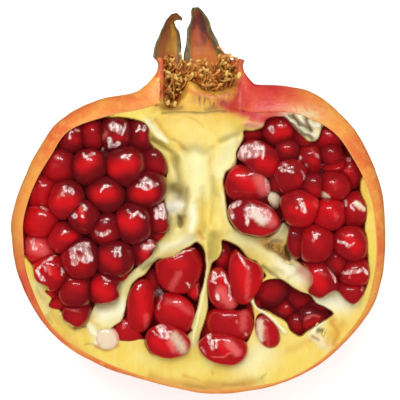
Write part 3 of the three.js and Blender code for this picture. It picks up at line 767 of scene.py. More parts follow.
# Painted shade in the creases.
colour = (pith.mask("crease_shade").between(0.3, 1.0) * 0.25).mix(colour, tint(214, 170, 70))
colour = pith.mask("hollow").mix(colour, cup_tone.mix(tint(236, 124, 50), tint(196, 88, 42)))
# Painted shade: the chamber floors are dark juice red, the shade between the deeper sacs.
colour = pith.mask("chamber").mix(colour, tint(112, 16, 16))
wet = pith.mask("chamber").clamp()
grain = pith.bump(pith.noise(0.5, 4, (1, 2.2, 1)), 0.10)
flesh = shape("pith_and_membranes", flesh_points, renumber[cells],
              pith.finish(Base_Color=colour, Roughness=0.5 - 0.3 * wet, Normal=grain,
                          Subsurface_Weight=0.35, Subsurface_Radius=(1.0, 0.6, 0.25),
                          Subsurface_Scale=1.5 * MM),
              flesh_masks)
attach(flesh, "root")
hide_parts("husk")

# ==== Crown =======================================================================================
# The dried collar stands up from the skin as half a tube, cut with the fruit. Two leathery sepals
# with rolled rims are left on it, one beside the other behind; the third is broken off short.
COLLAR = (                    # y, outer radius, inner radius, height of its cut edges right and left
    (27, 10.5, 8.0, 1.0, 1.0), (31, 10.8, 8.1, 1.6, 1.3), (32.4, 10.8, 8.2, 2.0, 1.4),
    (33.3, 10.4, 8.2, 2.0, 1.4), (34.6, 9.8, 8.0, 1.7, 1.1), (36, 9.35, 8.0, 1.5, 1.0),
    (37.4, 9.05, 8.0, 1.5, 1.0), (38.8, 9.3, 8.3, 1.5, 1.0),
)
COLLAR_AROUND = 72
COLLAR_ROWS = 60
MOUTH_RADIUS = 8.65           # the mouth's wall under the sepals, half a millimetre thick
MOUTH_WALL = 0.5
BLADE = 0.75                  # thickness of a sepal
RIM_AT = 0.86                 # its edges start to round off here, from 0 at its middle to 1
BLADE_ROWS, BLADE_COLUMNS = 12, 25   # its points: for each row of its table, and from side to side

LEFT_SEPAL = (                # each row up: left edge steps and z, right edge steps and z, hollow
    (161, 80, -1.4), (182, 78, -7.8), 1.4,
    (159, 64, -1.0), (181, 62, -8.3), 1.1,
    (153, 57, 0.2), (181, 55, -8.6), 1.4,
    (154, 48, 0.4), (181.5, 47, -8.6), 1.8,
    (157, 40, -0.2), (180.5, 39, -8.2), 1.8,
    (160, 32, -1.0), (178.5, 31, -7.6), 1.6,
    (163.5, 25, -1.8), (175.5, 25, -6.6), 1.2,
    (167, 19, -2.4), (174.5, 22, -5.6), 0.8,
    (171, 14, -2.6), (176, 20.5, -4.4), 0.4,
    (177, 12.5, -2.2), (178.5, 20, -3.4), 0.2,
    (182, 17, -1.8), (181.5, 21, -2.4), 0.1,
)
BACK_SEPAL = (
    (184, 80, -8.2), (235, 78, -4.2), 2.3,
    (183, 63, -8.6), (232, 61, -5.6), 1.6,
    (184, 55, -8.8), (226, 54, -6.6), 1.2,
    (185, 47, -8.8), (220, 47, -7.2), 1.6,
    (186.5, 38, -8.6), (216.5, 39, -7.4), 1.8,
    (187.5, 29, -8.4), (212, 30, -7.4), 1.8,
    (189.5, 23, -8.2), (210, 23, -7.4), 1.4,
    (190.5, 17, -8.0), (207.5, 17, -7.4), 1.0,
    (190.5, 11, -7.6), (203, 11, -7.2), 0.6,
    (191.5, 7.5, -7.2), (198.5, 7, -7.0), 0.2,
)
BROKEN_SEPAL = (
    (224, 66, -5.2), (241.5, 66, 0.8), 0.5,
    (226, 62, -5.0), (242, 60, 0.8), 0.5,
    (229, 60, -4.6), (238, 60, -1.2), 0.3,
)


def sepal(table, thick):
    """A leathery blade between two edges, with rolled rims; returns its points, faces and masks."""
    rows = [(np.array(spot(*table[i])), np.array(spot(*table[i + 1])), table[i + 2])
            for i in range(0, len(table), 3)]
    along = np.linspace(0, len(rows) - 1, BLADE_ROWS * len(rows))
    across = np.linspace(-1, 1, BLADE_COLUMNS)[:-1]
    points, rolled, inner, tip, right_side = [], [], [], [], []
    for row in along:
        low = min(int(row), len(rows) - 2)
        part = row - low
        left, right, hollow_by = (rows[low][k] * (1 - part) + rows[low + 1][k] * part
                                  for k in (0, 1, 2))
        for face in (1, -1):
            for u in across * face:
                edge = smooth(0.5, 1.0, abs(u))
                spot_on = left * (1 - u) / 2 + right * (1 + u) / 2
                spot_on = spot_on - np.array([0, 0, hollow_by * (1 - abs(u) ** 2.2)])
                round_off = math.sqrt(max(0, 1 - max(0, (abs(u) - RIM_AT) / (1 - RIM_AT)) ** 2))
                lift = face * thick * (0.5 + 0.55 * edge) * round_off
                points.append(spot_on + np.array([0, 0, lift + 0.5 * edge * thick]))
                rolled.append(edge)
                inner.append(1.0 if face > 0 else 0.0)
                tip.append(row / (len(rows) - 1))
                right_side.append((1 + u) / 2)
    points = np.array(points)
    nearer = 1 - points[:, 2:] / CAMERA_RISE          # the edges lie where the lens sees them
    points[:, :2] = VIEW_CENTRE + (points[:, :2] - VIEW_CENTRE) * nearer
    points += (0, 0, WIDEST)
    bend = rumple(points * (1, 0.5, 1), 3.0, len(table))
    points[:, 2] += 0.5 * bend
    points[:, 0] += 0.22 * rumple(points, 2.2, 3)
    count = 2 * len(across)
    faces = rings(len(along), count).tolist()
    faces.append(list(range(count))[::-1])
    faces.append(list(range(len(points) - count, len(points))))
    return points, faces, {"rolled": rolled, "inner": inner, "tip": tip, "right_side": right_side}


collar_y = np.linspace(COLLAR[0][0], COLLAR[-1][0], COLLAR_ROWS)
collar_sizes = [np.interp(collar_y, *np.array(COLLAR)[:, [0, k]].T) for k in (1, 2, 3, 4)]
collar_points = []
for y, outer, inner, right_rise, left_rise in zip(collar_y, *collar_sizes):
    for reach, way in ((outer, 1), (inner, -1)):
        start = -math.asin(right_rise / reach)
        stop = math.pi + math.asin(left_rise / reach)
        for angle in np.linspace(start, stop, COLLAR_AROUND)[::way]:
            collar_points.append((CROWN_MIDDLE + reach * math.cos(angle), y,
                                  WIDEST - reach * math.sin(angle)))
collar_points = np.array(collar_points)
ragged = rumple(collar_points * (1, 0, 1), 1.8, 4)
top = smooth(35.5, 38.8, collar_points[:, 1])
collar_points[:, 1] += 0.9 * ragged * top
under_sepals = smooth(2.25, 5.4, WIDEST - collar_points[:, 2])
collar_points[:, 1] -= 0.25 * (collar_points[:, 1] - COLLAR[0][0]) * under_sepals
pucker = 0.25 * rumple(collar_points * (1, 0.4, 1), 2.2, 6)
pucker *= smooth(34, 36.5, collar_points[:, 1])
axis_way = (collar_points - (CROWN_MIDDLE, 0, WIDEST)) * (1, 0, 1)
from_axis = np.linalg.norm(axis_way, axis=1)
axis_way /= from_axis[:, None]
thinned = MOUTH_RADIUS + MOUTH_WALL / 2 * np.sign(from_axis - MOUTH_RADIUS) - from_axis
thinned = thinned * under_sepals * top
collar_points = collar_points + axis_way * (pucker + thinned)[:, None]
ring_size = 2 * COLLAR_AROUND
collar_faces = rings(len(collar_y), ring_size).tolist()
top_ring = np.arange(ring_size) + (len(collar_y) - 1) * ring_size
top_ring = top_ring.tolist()
for k in range(COLLAR_AROUND - 1):
    collar_faces.append([top_ring[k], top_ring[k + 1], top_ring[-2 - k], top_ring[-1 - k]])
collar_inner = np.tile(np.repeat([0.0, 1.0], COLLAR_AROUND), len(collar_y))

collar_paint = Paint("crown_collar")
patch = collar_paint.noise(3.0, 4).between(0.4, 0.62)
streak = collar_paint.noise(1.0, 3, (1, 4, 1)).between(0.42, 0.7)
colour = patch.mix(tint(238, 122, 40), tint(220, 84, 30))
colour = (streak * 0.4).mix(colour, tint(244, 160, 74))
inner_tone = patch.mix(tint(236, 112, 42), tint(198, 84, 36))
colour = collar_paint.mask("inner").mix(colour, inner_tone)
colour = collar_paint.mask("foot").mix(colour, tint(246, 190, 84))
colour = collar_paint.mask("crimson").mix(colour, tint(216, 50, 40))
collar = shape("crown_collar", collar_points, collar_faces,
               collar_paint.finish(Base_Color=colour, Roughness=0.5,
                                   Normal=collar_paint.bump(collar_paint.noise(0.6, 4), 0.12)),
               {"inner": collar_inner,
                "foot": smooth(31.5, 28.5, collar_points[:, 1]) * smooth(2, -2, collar_points[:, 0]),
                "crimson": smooth(35, 32.5, collar_points[:, 1]) * smooth(4, 7, collar_points[:, 0])})
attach(collar, "root")
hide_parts("husk")


def sepal_paint(name, middle_tone, dark_tone, base_tone, right_tone, rim_tone, rim_from):
    """The material of a sepal: its five tones and where across it the right rim's colour starts."""
    paint = Paint(name)
    patch = paint.noise(2.6, 4, (1, 2.5, 1)).between(0.4, 0.62)
    colour = patch.mix(middle_tone, dark_tone)
    colour = paint.mask("tip").between(0.55, 0.15).mix(colour, base_tone)
    right = (paint.mask("right_side") + (patch - 0.5) * 0.3).between(0.5, 0.85)
    colour = (right * paint.mask("tip").between(0.1, 0.3) * 0.85).mix(colour, right_tone)
    rim_mask = (paint.mask("rolled").between(0.1, 0.6) + (1 - paint.mask("inner")) * 0.9
                + paint.mask("right_side").between(rim_from, rim_from + 0.05)
                + paint.mask("tip").between(0.82, 0.97) * 0.8).clamp()
    rim_mask = rim_mask * paint.mask("tip").between(0.04, 0.16)
    rim_colour = paint.noise(1.5, 4).between(0.35, 0.7).mix(rim_tone, tint(128, 102, 62))
    colour = rim_mask.mix(colour, rim_colour)
    veins = paint.noise(0.5, 4, (1, 5, 1))
    return paint.finish(Base_Color=colour, Roughness=0.62, Normal=paint.bump(veins, 0.18))


for name, table, tones in (
        ("left_sepal", LEFT_SEPAL,
         (tint(196, 112, 44), tint(150, 78, 38), tint(210, 124, 50), tint(232, 172, 52),
          tint(150, 136, 84), 0.9)),
        ("back_sepal", BACK_SEPAL,
         (tint(206, 92, 50), tint(138, 54, 44), tint(236, 132, 42), tint(112, 58, 52),
          tint(152, 140, 92), 0.76)),
        ("broken_sepal", BROKEN_SEPAL,
         (tint(226, 104, 48), tint(200, 84, 44), tint(226, 100, 46), tint(220, 96, 50),
          tint(224, 120, 78), 0.9))):
    points, faces, masks = sepal(table, BLADE)
    blade = shape(name, points, faces, sepal_paint(name, *tones), masks)
    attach(blade, "root")
    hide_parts("husk")

# ==== Stamens =====================================================================================
# A tuft of dried golden threads fills the crown's mouth. Each is a curled filament with a small
# two-lobed anther on its end; they run down into the cup and lie over one another.
THREADS = (                   # the tuft's clumps: middle steps and z, spread x, y, z, how many
    ((172, 62, -2.4), (1.9, 1.4, 0.9), 16),
    ((167, 76, -2.2), (1.5, 1.8, 0.9), 16),
    ((186, 73, -2.2), (1.8, 1.5, 0.9), 22),
    ((201, 73, -1.8), (2.6, 1.3, 0.9), 32),
    ((218, 70, -1.8), (2.8, 1.8, 0.9), 38),
    ((213, 87, -2.4), (2.6, 0.7, 0.6), 16),
    ((171, 90, -3.2), (1.6, 1.5, 0.6), 14),
    ((171, 104, -1.6), (1.4, 0.5, 0.4), 5),
    ((229, 57, -3.0), (1.0, 0.6, 0.8), 9),
)
BIG_ANTHERS = (               # steps and z, half length, half width
    (239, 76, 1.9, 0.8, 0.48), (158, 81, 1.4, 0.6, 0.36), (227, 73, -0.6, 0.7, 0.4),
    (168, 103, -0.6, 0.7, 0.42), (175, 104, -0.6, 0.75, 0.42),
)
BEAN_ROWS, BEAN_SIDES = 7, 10  # points along an anther and round it
TUFT_REACH = 8.1              # the threads stay this near to the collar's middle
TUFT_SPAN = (-7.8, 8.0)       # x of the anthers furthest to the left and right
rng = np.random.default_rng(7)


def tube(path, thickness, sides=6):
    """A round thread along a path; returns points and faces."""
    path = np.array(path, float)
    along = np.gradient(path, axis=0)
    along /= np.linalg.norm(along, axis=1)[:, None]
    side = np.cross(along, (0.13, 0.21, 1.0))
    side /= np.linalg.norm(side, axis=1)[:, None]
    other = np.cross(along, side)
    spin = np.arange(sides) * 2 * math.pi / sides
    girth = thickness * np.ones(len(path))
    points = (path[:, None] + girth[:, None, None] * (side[:, None] * np.cos(spin)[None, :, None]
              + other[:, None] * np.sin(spin)[None, :, None])).reshape(-1, 3)
    faces = rings(len(path), sides).tolist()
    faces += [list(range(sides))[::-1], list(range(len(points) - sides, len(points)))]
    return points, faces


def bean(centre, along, long, wide):
    """A two-lobed anther: returns points and faces."""
    along = along / np.linalg.norm(along)
    side = np.cross(along, (0.1, 0.2, 1.0))
    side /= np.linalg.norm(side)
    other = np.cross(along, side)
    points = []
    for tilt in np.linspace(-1.35, 1.35, BEAN_ROWS):
        for spin in np.arange(BEAN_SIDES) * 2 * math.pi / BEAN_SIDES:
            groove = 1 - 0.35 * math.exp(-(math.cos(spin) / 0.4) ** 2)
            out = wide * math.cos(tilt) * groove
            points.append(centre + along * long * math.sin(tilt)
                          + out * (side * math.cos(spin) + other * math.sin(spin)))
    faces = rings(BEAN_ROWS, BEAN_SIDES).tolist()
    faces += [list(range(BEAN_SIDES))[::-1], list(range(len(points) - BEAN_SIDES, len(points)))]
    return np.array(points), faces


def joined(parts):
    """The points and faces of many parts as those of one."""
    starts = np.cumsum([0] + [len(points) for points, faces in parts]).tolist()
    faces = [[start + k for k in face] for start, part in zip(starts, parts) for face in part[1]]
    return np.concatenate([points for points, faces in parts]), faces


def within_collar(path):
    """The path held back to the inside of the collar's wall."""
    from_middle = (path - (CROWN_MIDDLE, 0, WIDEST)) * (1, 0, 1)
    reach = np.linalg.norm(from_middle, axis=1)[:, None]
    return path - from_middle * (1 - np.minimum(1, TUFT_REACH / np.maximum(reach, 0.1)))


tuft_parts, tuft_pale = [], []
t = np.linspace(0, 1, 12)[:, None]
for middle, spread, count in THREADS:
    x, y, z = spot(*middle)
    for each in range(count):
        head = np.array([x, y, WIDEST + z]) + rng.normal(size=3) * spread
        head[0] = np.clip(head[0], *TUFT_SPAN)
        drop = np.array([rng.normal() * 1.0, -1.8 - rng.random() * 2.2, -2.2 - rng.random()])
        curl = rng.uniform(0.35, 0.9)
        turn = rng.uniform(0, 2 * math.pi)
        loops = np.stack([np.sin(turn + t[:, 0] * 5.5), np.cos(turn + t[:, 0] * 5.5),
                          0.4 * np.sin(t[:, 0] * 7)], 1)
        path = within_collar(head + drop * t ** 1.3 + curl * loops * (1 - t * 0.5))
        pale = rng.random()
        tuft_parts.append(tube(path, 0.16 + 0.06 * rng.random()))
        tuft_parts.append(bean(path[0], path[0] - path[1] + rng.normal(size=3) * 0.2,
                               rng.uniform(0.5, 0.75), rng.uniform(0.26, 0.4)))
        tuft_pale += [pale * 0.6, pale]
for row in BIG_ANTHERS:
    x, y, z, long, wide = spot(*row)
    head = np.array([x, y, WIDEST + z])
    path = head + np.hstack([-0.2 * x * t ** 0.6, -1.2 * t, -2.8 * t ** 2])
    tuft_parts += [tube(path, 0.18), bean(head, np.array([0.2, 1.0, 0.1]), long, wide)]
    tuft_pale += [0.4, 1.0]
tuft_points, tuft_faces = joined(tuft_parts)
tuft_pale = np.repeat(tuft_pale, [len(points) for points, faces in tuft_parts])

stamen_paint = Paint("dried_stamens")
tone = stamen_paint.noise(0.7, 3).between(0.35, 0.65)
colour = stamen_paint.mask("pale").between(0.1, 1.0).mix(
    tone.mix(tint(234, 146, 38), tint(192, 94, 28)), tint(255, 208, 104))
tuft = shape("dried_stamens", tuft_points, tuft_faces,
             stamen_paint.finish(Base_Color=colour, Roughness=0.6,
                                 Normal=stamen_paint.bump(stamen_paint.noise(0.3, 2), 0.08)),
             {"pale": tuft_pale})
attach(tuft, "root")
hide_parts("stamens")

# ==== Torn membrane ===============================================================================
# Where the knife pulled at the thin walls, a few shreds of them stand up from the pith: pale limp
# strands, two to four millimetres long, each grown out of the edge that it lies on.
SHREDS = (                    # foot, bend and tip: steps and height above the widest section
    ((60, 312, 1.6), (63, 318, 3.0), (68, 320, 2.6)),
    ((66, 321, 1.6), (71, 326, 2.8), (79, 327, 1.4)),
    ((44, 285, 2.0), (48, 289, 3.0), (53, 291, 2.4)),
    ((282, 261, 1.2), (291, 262, 2.2), (297, 268, 1.2)),
    ((318, 323, 1.0), (313, 330, 2.0), (318, 337, 0.9)),
    ((325, 329, 1.0), (321, 336, 1.8), (324, 343, 0.8)),
)
shred_parts = []
t = np.linspace(0, 1, 16)[:, None]
for row in SHREDS:
    foot, bend, tip = (np.array(spot(*place)) for place in row)
    path = (1 - t) ** 2 * foot + 2 * t * (1 - t) * bend + t ** 2 * tip
    path = path + (0, 0, WIDEST) + 0.5 * rumple(path, 1.0, 31)[:, None] * (0.3, 0.3, 0.5)
    points, faces = tube(path, 0.24 * (1 - t[:, 0]) ** 0.6 + 0.05, 8)
    shred_parts.append((points + 0.12 * rumple(points, 0.5, 32)[:, None], faces))
shred_paint = Paint("torn_membrane")
shred_tone = shred_paint.noise(0.9, 3).between(0.4, 0.65)
colour = shred_tone.mix(tint(252, 232, 150), tint(232, 188, 92))
shreds = shape("torn_membrane", *joined(shred_parts),
               shred_paint.finish(Base_Color=colour, Roughness=0.35,
                                  Normal=shred_paint.bump(shred_paint.noise(0.3, 3), 0.06)))
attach(shreds, "root")
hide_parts("husk")

# ==== Arils =======================================================================================
# Juice sacs, each round a seed, packed side by side and pressed flat where they touch. The skin is
# thin, wet and tight. Painted light gathers low in the deep red juice and painted shade darkens the
# rims; seeds and painted glints show pale in some.
SAC_FIT = (1.32, 1.32, 1.04)  # a sac swells this far past its packed size until others stop it
SAC_ROUNDING = (8, 15)        # more makes the pressed flats sharper
WALL_GAP = -0.25              # below 0 the sacs press into the pith
SAC_GAP = 0.05                # added to the room between two sacs
SAC_FINENESS = 5              # times that the sacs' faces are divided
NEIGHBOURS = 13               # a sac is pressed by this many of the sacs round it
CHAMBER_PAINTED_LIGHT = (             # chamber, painted red light all through its sacs, how dark the painted shade at their rims is
    ("lower", 0.52, 0.65), ("pocket", 0.03, 0.85), ("left", 0.12, 1), ("middle", 0.3, 0.55),
    ("right", 0.32, 0.6), ("hidden", 0.15, 0.7),
)

PAINTED_LIGHT_POOLS = (               # where painted light gathers in the juice, or painted shade darkens it: x, y, reach x, y, light
    (-38, 3, 9, 18, 0.8), (-24, 24.5, 4, 3, 0.4), (-15, 11, 10, 12, -1),
    (25, 7, 6, 5, 0.4), (19, 16, 5, 6, -0.8), (28, 17, 5, 5, -0.5), (-4, -14, 3, 3, 0.3),
    (3.5, -15, 3, 6, -0.3), (14, -10, 4, 3, 0.4), (28, -10, 6, 4, -0.5),
)

# Outlines, in steps, of the sacs that lie open to view from end to end
SAC_OUTLINES = {
    "aril_middle_01": (
        240, 150, 246, 142, 253, 140, 262, 143, 271, 149, 278, 156, 277, 167, 271, 177, 263, 176,
        255, 172, 246, 164, 238, 158),
    "aril_middle_02": (
        231, 168, 238, 164, 248, 167, 258, 172, 266, 180, 270, 189, 266, 197, 255, 200, 240, 200,
        229, 197, 225, 187, 227, 177),
    "aril_middle_03": (
        229, 204, 236, 200, 250, 199, 262, 203, 272, 210, 278, 218, 279, 226, 272, 232, 262, 236,
        250, 234, 238, 230, 231, 222, 227, 212),
    "aril_lower_left_01": (
        131, 290, 137, 282, 144, 279, 151, 283, 154, 291, 154, 302, 153, 314, 151, 323, 147, 333,
        140, 338, 132, 335, 127, 326, 127, 312, 128, 300),
    "aril_lower_left_02": (
        156, 263, 165, 259, 173, 257, 182, 252, 190, 247, 198, 246, 204, 251, 205, 261, 202, 271,
        198, 281, 193, 290, 183, 293, 170, 291, 161, 284, 156, 273),
    "aril_lower_left_03": (
        159, 298, 165, 293, 174, 294, 184, 298, 191, 304, 194, 311, 193, 319, 191, 328, 185, 333,
        177, 331, 166, 328, 157, 322, 155, 311),
    "aril_lower_left_04": (
        149, 331, 156, 326, 165, 324, 175, 327, 184, 333, 189, 341, 188, 350, 182, 355, 170, 357,
        159, 355, 150, 350, 146, 340),
    "aril_lower_left_05": (
        115, 329, 122, 320, 129, 320, 134, 328, 142, 338, 130, 341, 118, 338),
    "aril_lower_left_06": (
        97, 332, 103, 327, 112, 328, 118, 334, 119, 343, 113, 348, 103, 348, 97, 342),
    "aril_lower_right_01": (
        231, 254, 236, 250, 243, 257, 251, 261, 258, 265, 263, 273, 261, 283, 256, 292, 250, 302,
        243, 304, 237, 301, 233, 292, 230, 280, 229, 266),
    "aril_lower_right_02": (
        211, 272, 216, 267, 223, 269, 229, 280, 232, 290, 236, 300, 242, 307, 241, 314, 232, 314,
        221, 309, 212, 302, 209, 290, 209, 280),
    "aril_lower_right_03": (
        207, 314, 215, 309, 226, 310, 238, 311, 249, 308, 253, 317, 255, 326, 253, 335, 246, 341,
        236, 340, 222, 338, 210, 335, 205, 325),
    "aril_lower_right_04": (
        204, 337, 213, 332, 226, 335, 237, 338, 245, 342, 247, 350, 243, 359, 234, 364, 222, 363,
        210, 359, 202, 352, 199, 344),
    "aril_lower_right_05": (
        256, 320, 262, 315, 269, 319, 276, 328, 279, 337, 278, 344, 272, 347, 265, 345, 258, 337,
        255, 328),
}

# What shows in the sacs: [half width, strength, steps of the line]. Each mark is in the sac that
# is nearest to its middle.
PAINTED_GLOW_MARKS = (                      # painted red glow: light gathered low in the juice
    (0.9, 0.5, 74, 140, 80, 140), (1.5, 0.9, 84, 166, 94, 161), (1.8, 1.0, 116, 169, 132, 164),
    (0.8, 0.5, 143, 136, 143, 139), (1.5, 0.55, 42, 195, 50, 190), (1.7, 1.0, 60, 202, 72, 201),
    (1.5, 1.0, 99, 195, 112, 194), (1.5, 1.0, 139, 194, 151, 193), (1.8, 0.5, 34, 214, 46, 222),
    (0.9, 0.9, 82, 211, 84, 218), (1.8, 1.0, 124, 221, 134, 223), (1.5, 0.6, 42, 244, 46, 253),
    (1.1, 0.9, 62, 237, 75, 236), (1.4, 0.6, 106, 256, 116, 263), (0.9, 0.9, 144, 253, 145, 255),
    (1.2, 1.0, 53, 268, 58, 275), (1.4, 0.5, 74, 284, 82, 287), (1.8, 1.0, 99, 285, 107, 293),
    (0.8, 0.6, 118, 138, 124, 138), (1.2, 0.9, 276, 133, 288, 132), (1.0, 0.6, 284, 149, 288, 150),
    (1.0, 0.75, 311, 160, 313, 162), (1.0, 0.6, 296, 178, 299, 183), (1.6, 0.6, 330, 185, 336, 186),
    (1.0, 0.6, 345, 171, 348, 173), (1.3, 0.9, 290, 210, 304, 214), (1.4, 1.0, 306, 205, 312, 206),
    (1.8, 0.9, 324, 207, 333, 215), (1.0, 0.5, 344, 208, 348, 212), (1.6, 0.6, 309, 236, 318, 245),
    (1.6, 1.0, 347, 238, 354, 247), (1.7, 1.0, 314, 275, 320, 284), (1.2, 0.6, 350, 280, 354, 285),
    (0.9, 0.5, 248, 134, 254, 133), (1.8, 0.9, 262, 162, 271, 167), (1.9, 1.0, 236, 174, 251, 186),
    (0.9, 0.7, 252, 230, 268, 231), (0.7, 0.6, 271, 214, 275, 222), (1.8, 1.0, 141, 292, 144, 318),
    (2.0, 0.8, 170, 262, 184, 264), (1.7, 0.85, 165, 306, 177, 313), (1.7, 1.0, 156, 340, 168, 346),
    (1.0, 0.6, 125, 332, 130, 336), (2.1, 1.0, 240, 265, 246, 288), (0.9, 1.0, 221, 279, 223, 290),
    (1.5, 0.6, 226, 320, 238, 330), (1.4, 1.0, 219, 342, 225, 351), (0.9, 0.45, 272, 328, 275, 340),
    (1.0, 0.35, 266, 292, 274, 290), (0.9, 0.55, 284, 308, 287, 311), (0.9, 0.7, 308, 325, 318, 321),
    (0.8, 0.9, 192, 287, 194, 294),
)
PINK_AND_PAINTED_HIGHLIGHTS = (                      # thin skin over the seed's flesh, and painted pink highlights
    (0.7, 0.7, 104, 139, 108, 134), (0.4, 0.8, 57, 158, 61, 157), (1.0, 0.4, 56, 166, 58, 166),
    (0.5, 0.4, 36, 186, 34, 198), (0.6, 0.6, 66, 189, 60, 198), (0.25, 0.6, 31, 207, 39, 208),
    (2.3, 0.75, 35, 244, 44, 250), (1.2, 0.7, 146, 248, 151, 245), (0.5, 0.8, 50, 266, 52, 273),
    (0.5, 0.7, 82, 207, 84, 212), (0.5, 0.7, 279, 127, 284, 126), (0.5, 0.6, 324, 132, 329, 136),
    (0.35, 0.8, 310, 150, 316, 157), (0.4, 0.5, 344, 171, 351, 171), (0.9, 0.4, 333, 182, 334, 189),
    (0.9, 0.5, 333, 213, 335, 217), (0.8, 0.5, 313, 204, 317, 207), (0.5, 0.6, 341, 234, 343, 236),
    (0.6, 0.5, 319, 272, 325, 274), (0.3, 0.9, 348, 276, 349, 277), (1.7, 0.95, 259, 178, 264, 190),
    (0.9, 0.6, 242, 168, 252, 173), (0.35, 0.4, 233, 191, 256, 193), (1.4, 0.9, 264, 213, 271, 222),
    (0.8, 0.6, 147, 315, 146, 327), (1.0, 0.6, 179, 273, 171, 288),
    (1.0, 0.6, 168, 301, 178, 303, 190, 312), (0.9, 0.8, 170, 341, 174, 350),
    (0.4, 0.8, 124, 321, 124, 328), (0.9, 0.55, 248, 268, 247, 298), (1.5, 0.85, 220, 291, 233, 307),
    (1.3, 0.65, 243, 313, 243, 327), (0.25, 0.5, 214, 311, 226, 316), (0.35, 0.9, 236, 320, 236, 322),
    (1.1, 0.95, 228, 342, 237, 351), (0.3, 0.8, 212, 355, 222, 356, 231, 352),
    (0.6, 0.5, 265, 326, 268, 344), (0.3, 0.8, 305, 320, 311, 316, 319, 317),
    (0.3, 0.6, 67, 308, 81, 311), (0.35, 0.7, 197, 280, 197, 294), (0.8, 0.4, 103, 133, 102, 141),
    (1.7, 1.0, 115, 335, 114, 345, 103, 348),
)
PAINTED_GLINTS = (                     # painted highlights: glassy glints of the window and of the seed's coat
    (0.3, 0.8, 73, 130, 72, 138), (0.3, 0.8, 77, 130, 80, 132), (0.9, 1.0, 114, 127, 121, 130),
    (0.22, 1.0, 127, 125, 123, 136), (0.5, 0.9, 111, 140, 111, 147, 120, 144),
    (0.3, 1.0, 140, 126, 138, 132), (0.35, 1.0, 145, 127, 145, 131), (0.24, 1.0, 88, 156.5, 95.5, 154),
    (0.25, 0.8, 85, 154, 85, 157), (0.3, 0.9, 123, 157, 127, 156), (0.24, 0.9, 128, 158, 132, 155),
    (0.3, 0.7, 41, 181, 43, 184), (0.36, 1.0, 68, 187, 64, 196), (0.5, 1.0, 73, 190, 75, 193),
    (0.26, 1.0, 109, 185, 102, 191), (0.24, 0.8, 112, 186, 113, 186), (0.36, 1.0, 138, 185, 147, 189),
    (0.5, 0.9, 146, 178, 150, 181), (0.3, 1.0, 149, 189, 158, 184), (0.7, 0.75, 143, 182, 152, 184),
    (0.35, 0.8, 43, 207, 48, 210), (0.34, 1.0, 74, 211, 78, 206, 83, 203.5, 88, 209),
    (0.5, 1.0, 74, 213, 77, 216), (0.3, 0.9, 84, 216, 85, 217), (0.25, 0.8, 128, 210, 131, 212),
    (0.4, 0.9, 132, 217, 139, 212, 144, 217), (0.5, 1.0, 156, 209, 157, 217),
    (0.75, 1.0, 162, 206, 163, 216), (0.5, 0.8, 98, 232, 104, 234, 110, 231),
    (0.2, 0.8, 103, 219, 110, 218.5), (0.5, 0.9, 34, 240, 36, 248), (0.22, 0.9, 66, 230, 63, 234),
    (0.2, 0.9, 66, 231, 70, 231), (0.7, 1.0, 75, 249, 76, 262), (0.7, 1.0, 80, 246, 88, 244),
    (0.9, 1.0, 87, 248, 90, 257), (0.7, 0.9, 81, 257, 89, 259), (0.3, 1.0, 117, 247, 116, 255),
    (0.28, 1.0, 121, 247, 121, 256), (0.6, 0.85, 144, 246, 152, 246), (0.35, 0.9, 150, 241, 154, 246),
    (0.3, 0.9, 56, 255, 47, 261, 40, 267, 39, 271), (0.45, 1.0, 41, 273, 45, 279),
    (0.3, 0.8, 47, 266, 48, 270), (0.25, 0.7, 63, 267, 65, 272, 63, 275), (0.22, 0.7, 71, 279, 73, 279),
    (0.26, 0.9, 104, 276, 108, 280, 111, 280), (0.5, 0.9, 270, 128, 271, 132),
    (0.25, 0.8, 278, 123, 279, 123), (0.25, 0.9, 299, 158, 299, 163), (0.4, 0.7, 315, 156, 317, 157),
    (0.3, 0.8, 304, 166, 305, 166), (0.36, 1.0, 279, 169, 284, 171, 291, 172),
    (0.45, 0.7, 283, 164, 286, 166), (0.26, 0.8, 300, 171, 304, 177, 303, 184),
    (0.5, 1.0, 345, 158, 348, 160), (0.26, 1.0, 298, 200, 300, 210), (0.42, 1.0, 302, 204, 303, 211),
    (0.28, 1.0, 295, 207, 295, 208), (0.36, 0.85, 344, 201, 344, 205), (0.34, 0.9, 349, 205, 352, 210),
    (0.25, 0.9, 312, 232, 312, 241), (0.28, 0.9, 316, 232, 314, 238),
    (0.36, 1.0, 337, 241, 343, 243, 347, 247), (0.28, 0.9, 347, 247, 351, 243),
    (0.36, 1.0, 322, 259, 328, 265, 334, 281), (0.42, 0.9, 341, 272, 352, 271, 360, 269),
    (0.35, 0.9, 362, 268, 365, 273), (0.32, 0.6, 358, 279, 363, 283, 361, 289),
    (1.5, 1.0, 244, 152, 257, 150), (0.35, 1.0, 262, 149, 262, 158), (0.5, 0.85, 237, 165, 246, 168),
    (0.6, 0.9, 230, 206, 238, 203), (0.4, 0.9, 230, 211, 233, 217), (1.5, 0.85, 250, 211, 264, 216),
    (0.4, 0.8, 245, 212, 247, 224), (0.22, 0.8, 140, 285, 138, 290),
    (0.2, 1.0, 173, 257, 183, 251, 197, 248), (0.24, 0.7, 162, 296, 160, 303, 158, 308),
    (0.9, 1.0, 161, 327, 166, 334), (0.22, 0.8, 153, 330, 160, 336),
    (0.3, 0.8, 238, 253, 243, 262, 248, 268), (0.32, 0.9, 222, 272, 229, 288, 230, 298),
    (0.45, 1.0, 214, 273, 214, 278), (0.3, 0.7, 211, 281, 216, 283), (0.4, 1.0, 217, 293, 217, 299),
    (0.35, 0.8, 245, 333, 246, 334), (0.5, 1.0, 209, 335, 212, 347), (0.3, 0.9, 216, 338, 217, 347),
    (0.3, 0.6, 202, 347, 206, 353), (0.25, 0.9, 188, 283, 189, 286), (0.5, 0.6, 266, 180, 268, 191),
)
